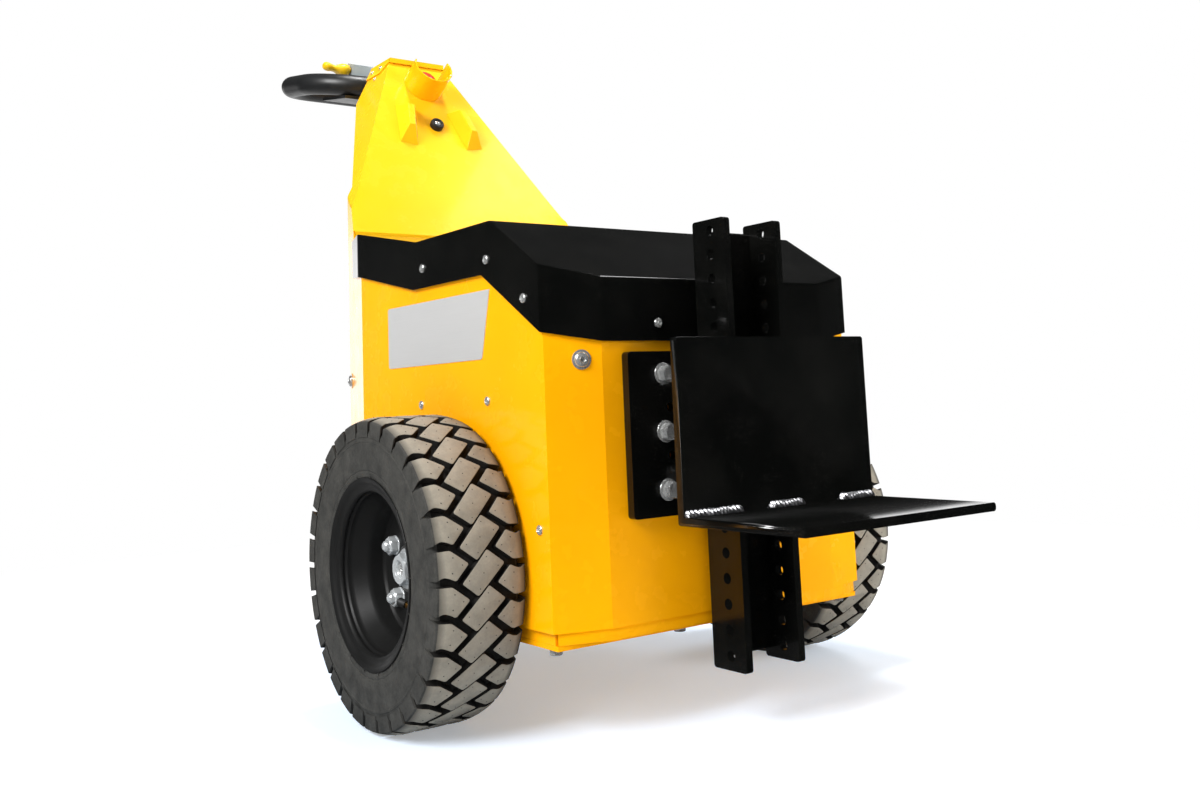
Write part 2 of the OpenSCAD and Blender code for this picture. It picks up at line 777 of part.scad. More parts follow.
// Fixings: each place turns +Z out of the face that carries it
small_r = 3;
small_head_r = 6;
small_head_h = 3.3;
fixing_r = 5;
fixing_l = 40;
big_head_r = 9;
big_head_h = 5;
big_washer_r = 12;
big_washer_t = 1.5;
front_turn = atan2(body_front - front_corner, body_half - front_half);
rear_turn = atan2(body_half - rear_half, body_rear - rear_corner);
shell_bolt_drop = 8;
shell_bolt_front_share = 0.36;
shell_bolt_rear_share = 0.86;
// Shares of the flat side, [from its front, up the shell]
side_screw_shares = [[0.618, 0.483], [0.261, 0.485], [0.04, 0.21]];
// Shares of the cowl's side band, [from ridge to valley, up]
cowl_screw_shares = [[0.907, 0.41], [0.059, 0.27]];
// Shares of the cowl's nose, [from the corner to the ridge, down the band]
cowl_nose_shares = [0.298, 0.286];
// Shares of the cowl's front band, [from the middle to the corner, down]
cowl_front_shares = [0.546, 0.714];

module side_fixings() {
    both_sides() for (s = side_screw_shares)
        translate([body_half, s[0]*(front_corner + rear_corner) - front_corner,
            body_low + s[1]*(fold_z - body_low)]) rotate([0, 90, 0]) children();
}

module shell_fixings() {
    both_sides() {
        translate([front_half + (body_half - front_half)*shell_bolt_front_share,
            -body_front + (body_front - front_corner)*shell_bolt_front_share, mount_high - shell_bolt_drop])
            rotate([0, 0, front_turn]) rotate([90, 0, 0]) children();
        translate([body_half - (body_half - rear_half)*shell_bolt_rear_share,
            rear_corner + (body_rear - rear_corner)*shell_bolt_rear_share, mount_high - shell_bolt_drop])
            rotate([0, 0, rear_turn]) rotate([0, 90, 0]) children();
    }
}

module cowl_fixings() {
    both_sides() {
        for (s = cowl_screw_shares)
            translate([body_half + cowl_out, s[0]*(cowl_ridge_y + cowl_valley_y) - cowl_ridge_y,
                cowl_ridge_z - (1 - s[1])*side_band]) rotate([0, 90, 0]) children();
        translate([body_half + cowl_out, cowl_nose_shares[0]*(front_corner - cowl_ridge_y) - front_corner,
            cowl_front_z - cowl_nose_shares[1]*cowl_band]) rotate([0, 90, 0]) children();
        translate([front_half*cowl_front_shares[0], -body_front - cowl_out,
            cowl_front_z - cowl_band*cowl_front_shares[1]]) rotate([90, 0, 0]) children();
    }
}

module side_screws() {
    color([0.8, 0.8, 0.82])
    at_axle() side_fixings() button_screw(small_head_r, small_head_h, small_r, sheet_t + cowl_t);
}

module cowl_screws() {
    color([0.8, 0.8, 0.82])
    at_axle() cowl_fixings() button_screw(small_head_r, small_head_h, small_r, cowl_out);
}

module shell_bolts() {
    color([0.8, 0.8, 0.82])
    at_axle() shell_fixings() {
        cylinder(r = big_washer_r, h = big_washer_t);
        translate([0, 0, big_washer_t])
            button_screw(big_head_r, big_head_h, fixing_r, big_washer_t + 2*sheet_t);
    }
}

// Label plate outline in [y, z], its front end slanted
label_t = sheet_t*0.4;
label_drop = 19;
label_h = 87;
label_rear = 180;
label_front = 90;
label_nose = 23;
label_high = cowl_ridge_z - side_band - label_drop;
label_low = label_high - label_h;

module label_plate() {
    color([0.78, 0.8, 0.82])
    at_axle()
        prism_x([[label_rear, label_low], [label_rear, label_high], [-label_front - label_nose, label_high],
            [-label_front, label_low]], -body_half - label_t, -body_half);
}

// Tower: cover, back and cap

tower_shoulder_rise = 52;
tower_shoulder_out = 17;
tower_shoulder_z = fold_z + tower_shoulder_rise;
tower_shoulder_half = tower_low_half + tower_shoulder_out;

function tower_front(inset) = mirrored([
    [body_half, cowl_rear_z], [body_half, fold_z], [tower_shoulder_half - inset, tower_shoulder_z],
    [tower_low_half - inset, tower_low_z], [tower_top_half - inset, tower_top_z]]);

function tower_side(inset) = [
    [tower_foot_y + inset, cowl_rear_z - (inset > 0 ? over : 0)], [tower_foot_y + inset, fold_z],
    [tower_head_y + inset*1.2, tower_top_z], [tower_rear_y + (inset > 0 ? over : 0), tower_top_z],
    [tower_rear_y + (inset > 0 ? over : 0), tower_chin_z],
    [body_rear + (inset > 0 ? over : 0), tower_back_z],
    [body_rear + (inset > 0 ? over : 0), cowl_rear_z - (inset > 0 ? over : 0)]];

module tower_solid(inset) {
    intersection() {
        prism_y(tower_front(inset), tower_foot_y - over, tower_rear_y + 2*over);
        prism_x(tower_side(inset), -body_half, body_half);
        union() {
            plan(-inset, body_low, tower_back_z + over);
            block([-body_half, tower_foot_y, tower_back_z],
                [body_half, tower_rear_y + 2*over, tower_top_z + over]);
        }
    }
}

face_lean = atan2(tower_head_y - tower_foot_y, tower_top_z - fold_z);

// Moves to the tower face: +Y runs up the slope from the fold, +Z stands out of it
module on_face() {
    at_axle() translate([0, tower_foot_y, fold_z]) rotate([90 - face_lean, 0, 0]) children();
}

// Places up the slope of the face
face_run = norm([tower_run, tower_rise]);
stop_down = 59.6;
stop_up = face_run - stop_down;
buffer_down = 100;
buffer_up = stop_up - buffer_down;
stop_body_r = 11;

module tower_cover() {
    color([1, 0.86, 0.05])
    difference() {
        at_axle() difference() {
            tower_solid(0);
            tower_solid(sheet_t);
            block([-body_half, tower_foot_y + sheet_t + clear, cowl_rear_z - over],
                [body_half, body_rear + over, fold_z]);
            difference() {
                block([-body_half, tower_foot_y - over, cowl_rear_z - over],
                    [body_half, body_rear + over, fold_z]);
                plan(-sheet_t - clear, body_low, tower_back_z);
            }
        }
        on_face() {
            translate([0, stop_up, 0]) cylinder(r = stop_body_r + seat_fit, h = fixing_l, center = true);
            translate([0, buffer_up, 0]) cylinder(r = small_r + seat_fit, h = fixing_l, center = true);
        }
        cap_fixings() cylinder(r = cap_screw_r + seat_fit, h = fixing_l, center = true);
    }
}

module tower_back() {
    inner = sheet_t + seat_fit;
    color([1, 0.8, 0.03])
    at_axle() difference() {
        intersection() {
            tower_solid(inner);
            prism_x([[body_rear - sheet_t, fold_z], [body_rear, fold_z], [body_rear, tower_back_z],
                [tower_rear_y, tower_chin_z], [tower_rear_y, tower_top_z - clear],
                [tower_rear_y - sheet_t, tower_top_z - clear],
                [tower_rear_y - sheet_t, tower_chin_z + sheet_t*half],
                [body_rear - sheet_t, tower_back_z + sheet_t*half]], -body_half, body_half);
        }
        translate([0, tower_rear_y, neck_z]) rotate([90, 0, 0])
            cylinder(r = neck_r + seat_fit, h = fixing_l, center = true);
    }
}

cap_lip = 9;
cap_flange = 25;
cap_screw_r = 2;
cap_gap = 0.5;
cap_out = cap_gap + sheet_t;

module tower_cap() {
    front = tower_head_y - cap_lip*tan(face_lean) - clear;
    top = tower_top_z + sheet_t;
    rear = tower_rear_y + cap_gap;
    wide = body_half;
    color([1, 0.86, 0.05])
    difference() {
        at_axle() {
            block([-tower_top_half - cap_out, front, tower_top_z], [tower_top_half + cap_out, rear, top]);
            block([-tower_top_half - cap_out, front - sheet_t, top - cap_lip],
                [tower_top_half + cap_out, front, top]);
            intersection() {
                difference() {
                    prism_y(tower_front(-cap_out), front, rear);
                    prism_y(tower_front(-cap_gap), front - over, rear + over);
                }
                prism_x([[front, top], [front, top - cap_lip], [front + cap_flange, top - cap_flange],
                    [rear, top - cap_flange], [rear, top]], -wide, wide);
            }
        }
        cap_fixings() cylinder(r = cap_screw_r + seat_fit, h = fixing_l, center = true);
    }
}

// Shares of the head's depth and the cap's flange, [back, down, 1 on the flange or 0 below it]
cap_screw_shares = [[0.31, 0.4, 1], [0.766, 0.44, 1], [0.455, 1.2, 0]];
side_slope = (tower_low_half - tower_top_half)/(tower_top_z - tower_low_z);

module cap_fixings() {
    at_axle() both_sides() for (s = cap_screw_shares)
        translate([tower_top_half + s[1]*cap_flange*side_slope + s[2]*cap_out,
            tower_head_y + s[0]*tower_head_d, tower_top_z - s[1]*cap_flange])
            rotate([0, 90 - atan(side_slope), 0]) children();
}

module cap_screws() {
    color([0.85, 0.85, 0.87])
    cap_fixings() button_screw(cap_screw_r*2, cap_screw_r*1.2, cap_screw_r, sheet_t);
}

// Emergency stop in its half round guard
guard_r = 37;
guard_wall = 3;
guard_l = 54;
guard_up_share = 0.4;
stop_head_r = 20;
stop_head_h = 12;
stop_stem_r = 7;
stop_collar_r = 17;
stop_collar_h = 9;
stop_depth = 42;
stop_travel = 4;

module stop_guard() {
    color([1, 0.84, 0.05])
    on_face() translate([0, stop_up, 0])
        difference() {
            cylinder(r = guard_r, h = guard_l);
            translate([0, 0, -over]) cylinder(r = guard_r - guard_wall, h = guard_l + 2*over);
            block([-guard_r - over, guard_r*guard_up_share, -over],
                [guard_r + over, guard_r + over, guard_l + over]);
        }
}

module stop_switch() {
    color([0.1, 0.1, 0.1])
    on_face() translate([0, stop_up, 0])
        difference() {
            union() {
                cylinder(r = stop_collar_r, h = stop_collar_h);
                translate([0, 0, -stop_depth]) cylinder(r = stop_body_r, h = stop_depth);
            }
            translate([0, 0, -stop_depth*half]) cylinder(r = stop_stem_r + run_fit, h = stop_depth);
        }
}

module stop_button() {
    gap = stop_travel + clear*half;
    color([0.85, 0.08, 0.05])
    on_face() translate([0, stop_up, 0]) {
        translate([0, 0, -stop_depth*half + gap])
            cylinder(r = stop_stem_r, h = stop_depth*half + stop_collar_h + over);
        translate([0, 0, stop_collar_h + gap]) difference() {
            union() {
                cylinder(r = stop_head_r, h = stop_head_h*half);
                translate([0, 0, stop_head_h*half]) intersection() {
                    translate([0, 0, -stop_head_r*1.05]) sphere(r = stop_head_r*1.45);
                    cylinder(r = stop_head_r, h = stop_head_h);
                }
            }
        }
    }
}

// Cable cleats: ridges with sloping ends, [x, up] corners on the face
cleat_h = 24;
cleat_x = 50;
cleat_w = 33.5;
cleat_skew = 6;
cleat_toe_in = 18.5;
cleat_toe_w = 40.5;
cleat_below = 52;
cleat_run = 88;
cleat_low_end = 29;
cleat_high_end = 9;
cleat_ridge_in = 7.5;
cleat_ridge_w = 11;
cleat_ridge_toe_in = 14.7;
cleat_ridge_toe_w = 13;

module cleat() {
    low = buffer_up - cleat_below;
    high = low + cleat_run;
    toe = cleat_x - cleat_toe_in;
    ridge = cleat_x + cleat_ridge_in;
    ridge_toe = toe + cleat_ridge_toe_in;
    ridge_low = low + cleat_low_end;
    ridge_high = high - cleat_high_end;
    pts = [[cleat_x, low, 0], [cleat_x + cleat_w, low + cleat_skew, 0],
        [toe + cleat_toe_w, high + cleat_skew, 0], [toe, high, 0],
        [ridge, ridge_low, cleat_h], [ridge + cleat_ridge_w, ridge_low, cleat_h],
        [ridge_toe + cleat_ridge_toe_w, ridge_high, cleat_h], [ridge_toe, ridge_high, cleat_h]];
    polyhedron(points = pts, faces = [[0, 1, 2], [0, 2, 3], [0, 5, 1], [0, 4, 5], [1, 5, 6],
        [1, 6, 2], [2, 6, 7], [2, 7, 3], [3, 7, 4], [3, 4, 0], [4, 7, 6], [4, 6, 5]]);
}

module cable_cleats() {
    color([1, 0.84, 0.05]) on_face() both_sides() cleat();
}

buffer_r = 13;
buffer_h = 11;

module rubber_buffer() {
    color([0.07, 0.07, 0.07])
    on_face() translate([0, buffer_up, 0])
        difference() {
            cylinder(r = buffer_r, h = buffer_h);
            translate([0, 0, -over]) cylinder(r = small_r + seat_fit, h = buffer_h + 2*over);
            translate([0, 0, buffer_h*0.7]) cylinder(r = small_head_r + clear, h = buffer_h);
        }
}

module buffer_screw() {
    color([0.8, 0.8, 0.82])
    on_face() translate([0, buffer_up, buffer_h*0.7])
        button_screw(small_head_r, small_head_h, small_r, buffer_h*0.7 + 2*sheet_t);
}

// Hitch: mount plate, column, bracket and pins

ear_t = 10;
ear_rise = 19;
ear_drop = 9;
ear_low = mount_low + ear_rise;
ear_high = mount_high - ear_drop;
ear_fit = 0.3;
column_half = column_w*half;
column_back = body_front + mount_t + column_gap;
hole_set = 26.5;
hole_y = column_front - hole_set;
hole_foot = 17;
hole_low_z = column_low + hole_foot;
lug_in = column_half - column_t - ear_fit;
web_set = 2;
web_drop = 11;
pin_edge = 20;
// The lowest and highest cross holes that the ears take
pin_holes = [ceil((ear_low + pin_edge - hole_low_z)/hole_pitch),
    floor((ear_high - pin_edge - hole_low_z)/hole_pitch)];

function hole_z(i) = hole_low_z + i*hole_pitch;
column_high = hole_z(hole_count - 1) + hole_margin;

module mount_bolt_places() {
    for (x = [-1, 1], i = [-1:1])
        translate([x*mount_bolt_x, -body_front - mount_t, mount_bolt_z + i*mount_bolt_step])
            rotate([90, 0, 0]) children();
}

module pin_places() { for (i = pin_holes) translate([0, -hole_y, hole_z(i)]) children(); }

module mount_plate() {
    reach = column_front - column_gap*half;
    color([0.03, 0.03, 0.03])
    at_axle()
        difference() {
            union() {
                block([-mount_half, -body_front - mount_t, mount_low], [mount_half, -body_front, mount_high]);
                both_sides() block([column_half + ear_fit, -reach, ear_low],
                    [column_half + ear_fit + ear_t, -body_front - mount_t + over, ear_high]);
            }
            mount_bolt_places() cylinder(r = mount_bolt_r + seat_fit, h = 3*mount_t, center = true);
            for (x = [-1, 1], s = [-1, 1])
                translate([x*spare_x, -body_front - mount_t*half, mount_bolt_z + s*spare_step*half])
                    rotate([90, 0, 0]) cylinder(r = spare_r, h = 2*mount_t, center = true);
            pin_places() bar_x(hole_r, -column_w, column_w);
        }
}

module mount_plate_bolts() {
    color([0.82, 0.83, 0.85])
    at_axle() mount_bolt_places() flange_bolt(mount_bolt_r, mount_t + front_wall_t);
}

module hitch_column() {
    color([0.03, 0.03, 0.03])
    at_axle()
        difference() {
            union() {
                both_sides() block([column_half - column_t, -column_front, column_low],
                    [column_half, -column_back, column_high]);
                block([-column_half + over, -column_back - web_set - column_t, column_low + web_drop],
                    [column_half - over, -column_back - web_set, column_high - web_drop]);
            }
            for (i = [0:hole_count - 1])
                translate([0, -hole_y, hole_z(i)]) bar_x(hole_r, -column_w, column_w);
        }
}

module push_bracket() {
    lug_back = column_back + web_set + column_t + column_gap;
    back_face = bracket_face - bracket_t;
    color([0.03, 0.03, 0.03])
    at_axle()
        difference() {
            union() {
                block([-bracket_w*half, -bracket_face, shelf_low],
                    [bracket_w*half, -back_face, bracket_high]);
                block([-bracket_w*half, -front_reach, shelf_low],
                    [bracket_w*half, -bracket_face + over, shelf_low + bracket_t]);
                both_sides() block([lug_in - ear_t, -back_face - over, ear_low],
                    [lug_in, -lug_back, ear_high]);
            }
            pin_places() bar_x(hole_r, -column_w, column_w);
        }
}

module bracket_pins() {
    seat = column_half + ear_fit + ear_t;
    head = pin_r*1.3;
    color([0.8, 0.8, 0.82])
    at_axle() pin_places() {
        bar_x(pin_r, -seat - over, seat + over);
        translate([-seat - head, 0, 0]) rotate([0, 90, 0]) cylinder(r = pin_r*1.8, h = head, $fn = hex);
        translate([seat, 0, 0]) rotate([0, 90, 0]) cylinder(r = pin_r*1.8, h = head, $fn = hex);
    }
}

// Inside: batteries, strap, controller, contactor and charger

battery_w = 173;
battery_gap = 10;
terminal_shares = [0.12, 0.88];
terminal_r = 8;
terminal_h = 14;
strap_w = 40;
strap_t = 3;

module batteries() {
    z0 = deck_z + chassis_t;
    color([0.13, 0.14, 0.16])
    at_axle() both_sides() {
        block([battery_gap*half, battery_y, z0],
            [battery_gap*half + battery_w, battery_y + battery_l, z0 + battery_h]);
        for (y = terminal_shares)
            translate([battery_gap*half + battery_w*half, battery_y + battery_l*y, z0 + battery_h])
                cylinder(r = terminal_r, h = terminal_h);
    }
}

module battery_strap() {
    z0 = deck_z + chassis_t;
    z1 = z0 + battery_h + clear;
    x1 = battery_gap*half + battery_w + clear;
    y0 = battery_y + battery_l*half;
    color([0.55, 0.56, 0.58])
    at_axle() {
        block([-x1 - strap_t, y0, z1], [x1 + strap_t, y0 + strap_w, z1 + strap_t]);
        both_sides() block([x1, y0, z0], [x1 + strap_t, y0 + strap_w, z1 + strap_t]);
        both_sides() block([x1, y0, z0], [x1 + strap_w*half, y0 + strap_w, z0 + strap_t]);
    }
}

// Electrics hang on the uprights behind the access panel
rack_y = body_rear - sheet_t - clear - upright_w;
bay_gap = 12;
bay_w = upright_half - upright_w - bay_gap;
controller_h = 190;
controller_fins = 9;
contactor_size = [70, 55, 90];
contactor_shares = [0.3, 0.7];
charger_d = 70;
charger_h = 100;
charger_gap = 12;
charger_low = window_low + contactor_size[2] + terminal_h + charger_gap;

module motor_controller() {
    x0 = -upright_half + upright_w;
    y1 = rack_y - rack_t;
    top = window_low + controller_h;
    fin_step = bay_w/(controller_fins + 1);
    color([0.2, 0.22, 0.25])
    at_axle() {
        block([-upright_half, y1, window_low], [upright_half, rack_y, charger_low + charger_h]);
        block([x0, y1 - controller_d, window_low], [x0 + bay_w, y1 + over, top]);
        for (i = [1:controller_fins])
            block([x0 + i*fin_step - rack_t*half, y1 - controller_d*(1 + controller_fin_share), window_low],
                [x0 + i*fin_step + rack_t*half, y1 - controller_d + over, top]);
    }
}

module line_contactor() {
    x0 = battery_gap;
    y1 = rack_y - rack_t;
    color([0.12, 0.12, 0.13])
    at_axle() {
        block([x0, y1 - contactor_size[1], window_low],
            [x0 + contactor_size[0], y1, window_low + contactor_size[2]]);
        for (s = contactor_shares)
            translate([x0 + contactor_size[0]*s, y1 - contactor_size[1]*half, window_low + contactor_size[2]])
                cylinder(r = terminal_r*half, h = terminal_h);
    }
}

module charger() {
    x0 = battery_gap;
    y1 = rack_y - rack_t;
    color([0.3, 0.32, 0.34])
    at_axle() block([x0, y1 - charger_d, charger_low], [x0 + bay_w, y1, charger_low + charger_h]);
}

// Castor

castor_plate_size = [138, 108];
castor_bolt_inset = 16;
castor_bolt_r = 5;
race_r = 38;
king_r = 8;
leg_t = 6;
leg_gap = 2.5;
castor_axle_r = 6;
castor_tread = 17;
boss_r = 18;
crown_top = castor_h - castor_plate_t - race_h;

module castor_at() { at_axle() translate([0, castor_y, 0]) children(); }

module castor_bolt_places() {
    translate([0, castor_y, 0])
        for (x = [-1, 1], y = [-1, 1])
            translate([x*(castor_plate_size[0]*half - castor_bolt_inset),
                y*(castor_plate_size[1]*half - castor_bolt_inset), castor_h]) children();
}

module castor_plate() {
    color([0.75, 0.76, 0.78])
    difference() {
        castor_at() union() {
            block([-castor_plate_size[0]*half, -castor_plate_size[1]*half, castor_h - castor_plate_t],
                [castor_plate_size[0]*half, castor_plate_size[1]*half, castor_h]);
            translate([0, 0, crown_top - crown_t - 2*clear])
                cylinder(r = king_r, h = castor_h - crown_top + crown_t);
            translate([0, 0, crown_top - crown_t - clear - king_r]) cylinder(r = king_r*1.7, h = king_r);
        }
        at_axle() castor_bolt_places() cylinder(r = castor_bolt_r + seat_fit, h = beam_z, center = true);
    }
}

module castor_bolts() {
    color([0.8, 0.8, 0.82])
    at_axle() castor_bolt_places() {
        translate([0, 0, -castor_plate_t]) rotate([180, 0, 0])
            cylinder(r = castor_bolt_r*1.8, h = castor_bolt_r*1.2, $fn = hex);
        translate([0, 0, -castor_plate_t - over])
            cylinder(r = castor_bolt_r, h = castor_plate_t + beam_t + over);
        translate([0, 0, beam_t]) cylinder(r = castor_bolt_r*1.8, h = castor_bolt_r*1.2, $fn = hex);
    }
}

module castor_bearing() {
    color([0.7, 0.7, 0.72])
    castor_at() difference() {
        translate([0, 0, crown_top + clear]) cylinder(r = race_r, h = race_h - clear);
        translate([0, 0, crown_top - over]) cylinder(r = king_r + seat_fit, h = race_h + 2*over);
    }
}

module castor_fork() {
    x0 = castor_w*half + leg_gap;
    color([0.78, 0.79, 0.8])
    castor_at() difference() {
        union() {
            translate([0, 0, crown_top - crown_t]) cylinder(r = race_r, h = crown_t);
            block([-x0 - leg_t, -race_r*0.8, crown_top - crown_t], [x0 + leg_t, race_r*0.9, crown_top]);
            both_sides() prism_x([[-race_r*0.8, crown_top], [-race_r*0.8, crown_top - 2*crown_t],
                [castor_trail - boss_r, castor_r], [castor_trail + boss_r, castor_r],
                [race_r*0.9, crown_top]], x0, x0 + leg_t);
            both_sides() translate([0, castor_trail, castor_r]) bar_x(boss_r, x0, x0 + leg_t);
        }
        translate([0, 0, crown_top - 2*crown_t]) cylinder(r = king_r + run_fit, h = 3*crown_t);
        translate([0, castor_trail, castor_r])
            bar_x(castor_axle_r + seat_fit*half, -x0 - 2*leg_t, x0 + 2*leg_t);
    }
}

module castor_axle() {
    seat = castor_w*half + leg_gap + leg_t;
    color([0.8, 0.8, 0.82])
    castor_at() translate([0, castor_trail, castor_r]) {
        bar_x(castor_axle_r, -seat, seat);
        for (s = [-1, 1])
            translate([s*(seat + castor_axle_r*0.6) - castor_axle_r*0.6, 0, 0]) rotate([0, 90, 0])
                cylinder(r = castor_axle_r*1.7, h = castor_axle_r*1.2, $fn = hex);
    }
}

module castor_hub() {
    color([0.5, 0.5, 0.52])
    castor_at() translate([0, castor_trail, castor_r])
        difference() {
            union() {
                bar_x(castor_r - castor_tread, -castor_w*0.4, castor_w*0.4);
                bar_x(castor_axle_r*2.4, -castor_w*half - leg_gap + clear, castor_w*half + leg_gap - clear);
            }
            bar_x(castor_axle_r + run_fit, -castor_w, castor_w);
        }
}

module castor_tyre() {
    edge = castor_tread*0.35;
    inner = castor_r - castor_tread + seat_fit*half;
    color([0.15, 0.15, 0.15])
    castor_at() translate([0, castor_trail, castor_r])
        rotate([0, 90, 0]) rotate_extrude() polygon([[inner, -castor_w*half],
            [castor_r - edge, -castor_w*half], [castor_r, -castor_w*half + edge],
            [castor_r, castor_w*half - edge],
            [castor_r - edge, castor_w*half], [inner, castor_w*half]]);
}

// Handle: loop, bracket, console, thumb lever, key switch

neck_r = 19;
neck_drop = 20;
neck_z = loop_front_z - neck_drop;
bracket_plate_t = 6;
bracket_plate_in = 40;
bracket_plate_half = loop_half - bracket_plate_in;
bracket_run = 108;
lever_back = 20;
lever_along = console_run - lever_back;
lever_r = 5;
lever_gap = 12.8;
lever_chord = 44;
lever_wing = loop_half - loop_r - lever_gap - console_half - clear - lever_chord*half;
lever_t = 11;
console_bevel = 6;
console_lift = 9;
console_front_y = tower_rear_y + console_t*sin(console_tilt) + 3*clear;
console_front_z = loop_front_z + console_lift;

module on_loop() {
    at_axle() translate([0, loop_front_y, loop_front_z]) rotate([loop_tilt, 0, 0]) children();
}

module on_console() {
    at_axle() translate([0, console_front_y, console_front_z]) rotate([console_tilt, 0, 0]) children();
}

module bend(corner, r) { rotate_extrude(angle = 90) translate([corner, 0]) circle(r = r); }

// The front bar of the loop and its two bends, at the radius of the tube or of a seat for it
module loop_front(r) {
    fc = loop_front_corner;
    bar_x(r, -loop_half + fc, loop_half - fc);
    both_sides() translate([loop_half - fc, fc, 0]) rotate([0, 0, -90]) bend(fc, r);
}

module handle_loop() {
    rc = loop_rear_corner;
    color([0.05, 0.05, 0.05])
    on_loop() {
        loop_front(loop_r);
        both_sides() {
            translate([loop_half, loop_front_corner, 0]) rotate([-90, 0, 0])
                cylinder(r = loop_r, h = loop_run - loop_front_corner - rc);
            translate([loop_half - rc, loop_run - rc, 0]) bend(rc, loop_r);
        }
        translate([0, loop_run, 0]) bar_x(loop_r, -loop_half + rc, loop_half - rc);
    }
}

module handle_bracket() {
    drop = loop_r + bracket_plate_t;
    color([0.06, 0.06, 0.06])
    difference() {
        union() {
            at_axle() translate([0, tower_rear_y - 3*sheet_t, neck_z]) rotate([-90, 0, 0])
                cylinder(r = neck_r, h = loop_gap + 3*sheet_t);
            on_loop() {
                block([-bracket_plate_half, -loop_r*0.2, -drop],
                    [bracket_plate_half, bracket_run, -loop_r - seat_fit]);
                block([-neck_r, -loop_r*0.2, -drop], [neck_r, loop_r, -loop_r*0.4]);
            }
        }
        on_loop() bar_x(loop_r + seat_fit, -loop_half, loop_half);
    }
}

module console() {
    color([0.45, 0.5, 0.55])
    difference() {
        on_console() union() {
            prism_x([[0, -console_t*0.3], [console_run*0.4, -console_t*0.5], [console_run, 0],
                [console_run, console_t*0.75], [console_run - console_bevel, console_t], [0, console_t]],
                -console_half, console_half);
        }
        on_loop() loop_front(loop_r + seat_fit);
        on_console() translate([0, lever_along, console_t*half])
            bar_x(lever_r + run_fit, -console_half - over, console_half + over);
        on_console() translate([0, key_along, 0]) cylinder(r = key_r + seat_fit*half, h = console_t*2);
    }
}

module thumb_lever() {
    color([1, 0.8, 0.05])
    on_console() translate([0, lever_along, console_t*half]) {
        bar_x(lever_r, -console_half - lever_wing*0.7, console_half + lever_wing*0.7);
        both_sides() difference() {
            union() {
                translate([console_half + clear, -lever_chord*0.35, -lever_t*half])
                    cube([lever_wing, lever_chord, lever_t]);
                translate([console_half + clear + lever_wing, lever_chord*0.15, -lever_t*half])
                    cylinder(r = lever_chord*half, h = lever_t);
            }
            translate([console_half + clear + lever_wing, 0, lever_t*3.2])
                rotate([-90, 0, 0]) cylinder(r = lever_t*3, h = 3*lever_chord, center = true);
        }
    }
}

key_along = 40;
key_r = 9;
key_slot_r = 5;

module key_switch() {
    color([0.75, 0.76, 0.78])
    on_console() translate([0, key_along, 0]) difference() {
        union() {
            cylinder(r = key_r, h = console_t + sheet_t);
            translate([0, 0, console_t]) cylinder(r = key_r*1.3, h = sheet_t);
        }
        translate([0, 0, console_t*half]) cylinder(r = key_slot_r + run_fit, h = console_t);
    }
}

module key() {
    color([0.7, 0.7, 0.72])
    on_console() translate([0, key_along, console_t*half + clear]) {
        cylinder(r = key_slot_r, h = console_t*half + sheet_t + over);
        translate([0, 0, console_t*half + sheet_t])
            block([-key_r, -sheet_t*half, 0], [key_r, sheet_t*half, key_r*1.6]);
    }
}

chassis_frame();
base_plate();
body_shell();
rear_access_panel();
top_cowl();
tower_cover();
tower_back();
tower_cap();
label_plate();
mount_plate();
mount_plate_bolts();
hitch_column();
push_bracket();
bracket_pins();
left_tyre();
right_tyre();
left_rim();
right_rim();
left_hub();
right_hub();
left_wheel_nuts();
right_wheel_nuts();
left_valve();
right_valve();
left_half_shaft();
right_half_shaft();
axle_bearings();
transaxle_case();
drive_motor();
motor_brake();
batteries();
battery_strap();
motor_controller();
line_contactor();
charger();
castor_plate();
castor_bearing();
castor_fork();
castor_axle();
castor_hub();
castor_tyre();
handle_loop();
handle_bracket();
console();
thumb_lever();
key_switch();
key();
stop_guard();
stop_switch();
stop_button();
cable_cleats();
rubber_buffer();
buffer_screw();
cowl_screws();
side_screws();
rear_panel_screws();
cap_screws();
shell_bolts();
base_bolts();
castor_bolts();
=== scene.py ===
# %% [markdown]
# # A walk behind electric tug
# The tug is a box of folded yellow sheet on two drive wheels and a rear castor. A leaning tower
# carries the handle, and a black hitch at the front pushes or pulls the load.
# Its solids arrive as a fixed frame in metres. This lesson gives each of them its finish, and
# models again, in the same place, the pieces whose looks need more than their plain solid has.

# %% Load the frame
import json
import math

import bmesh
import bpy
import numpy as np
from mathutils import Matrix, Vector

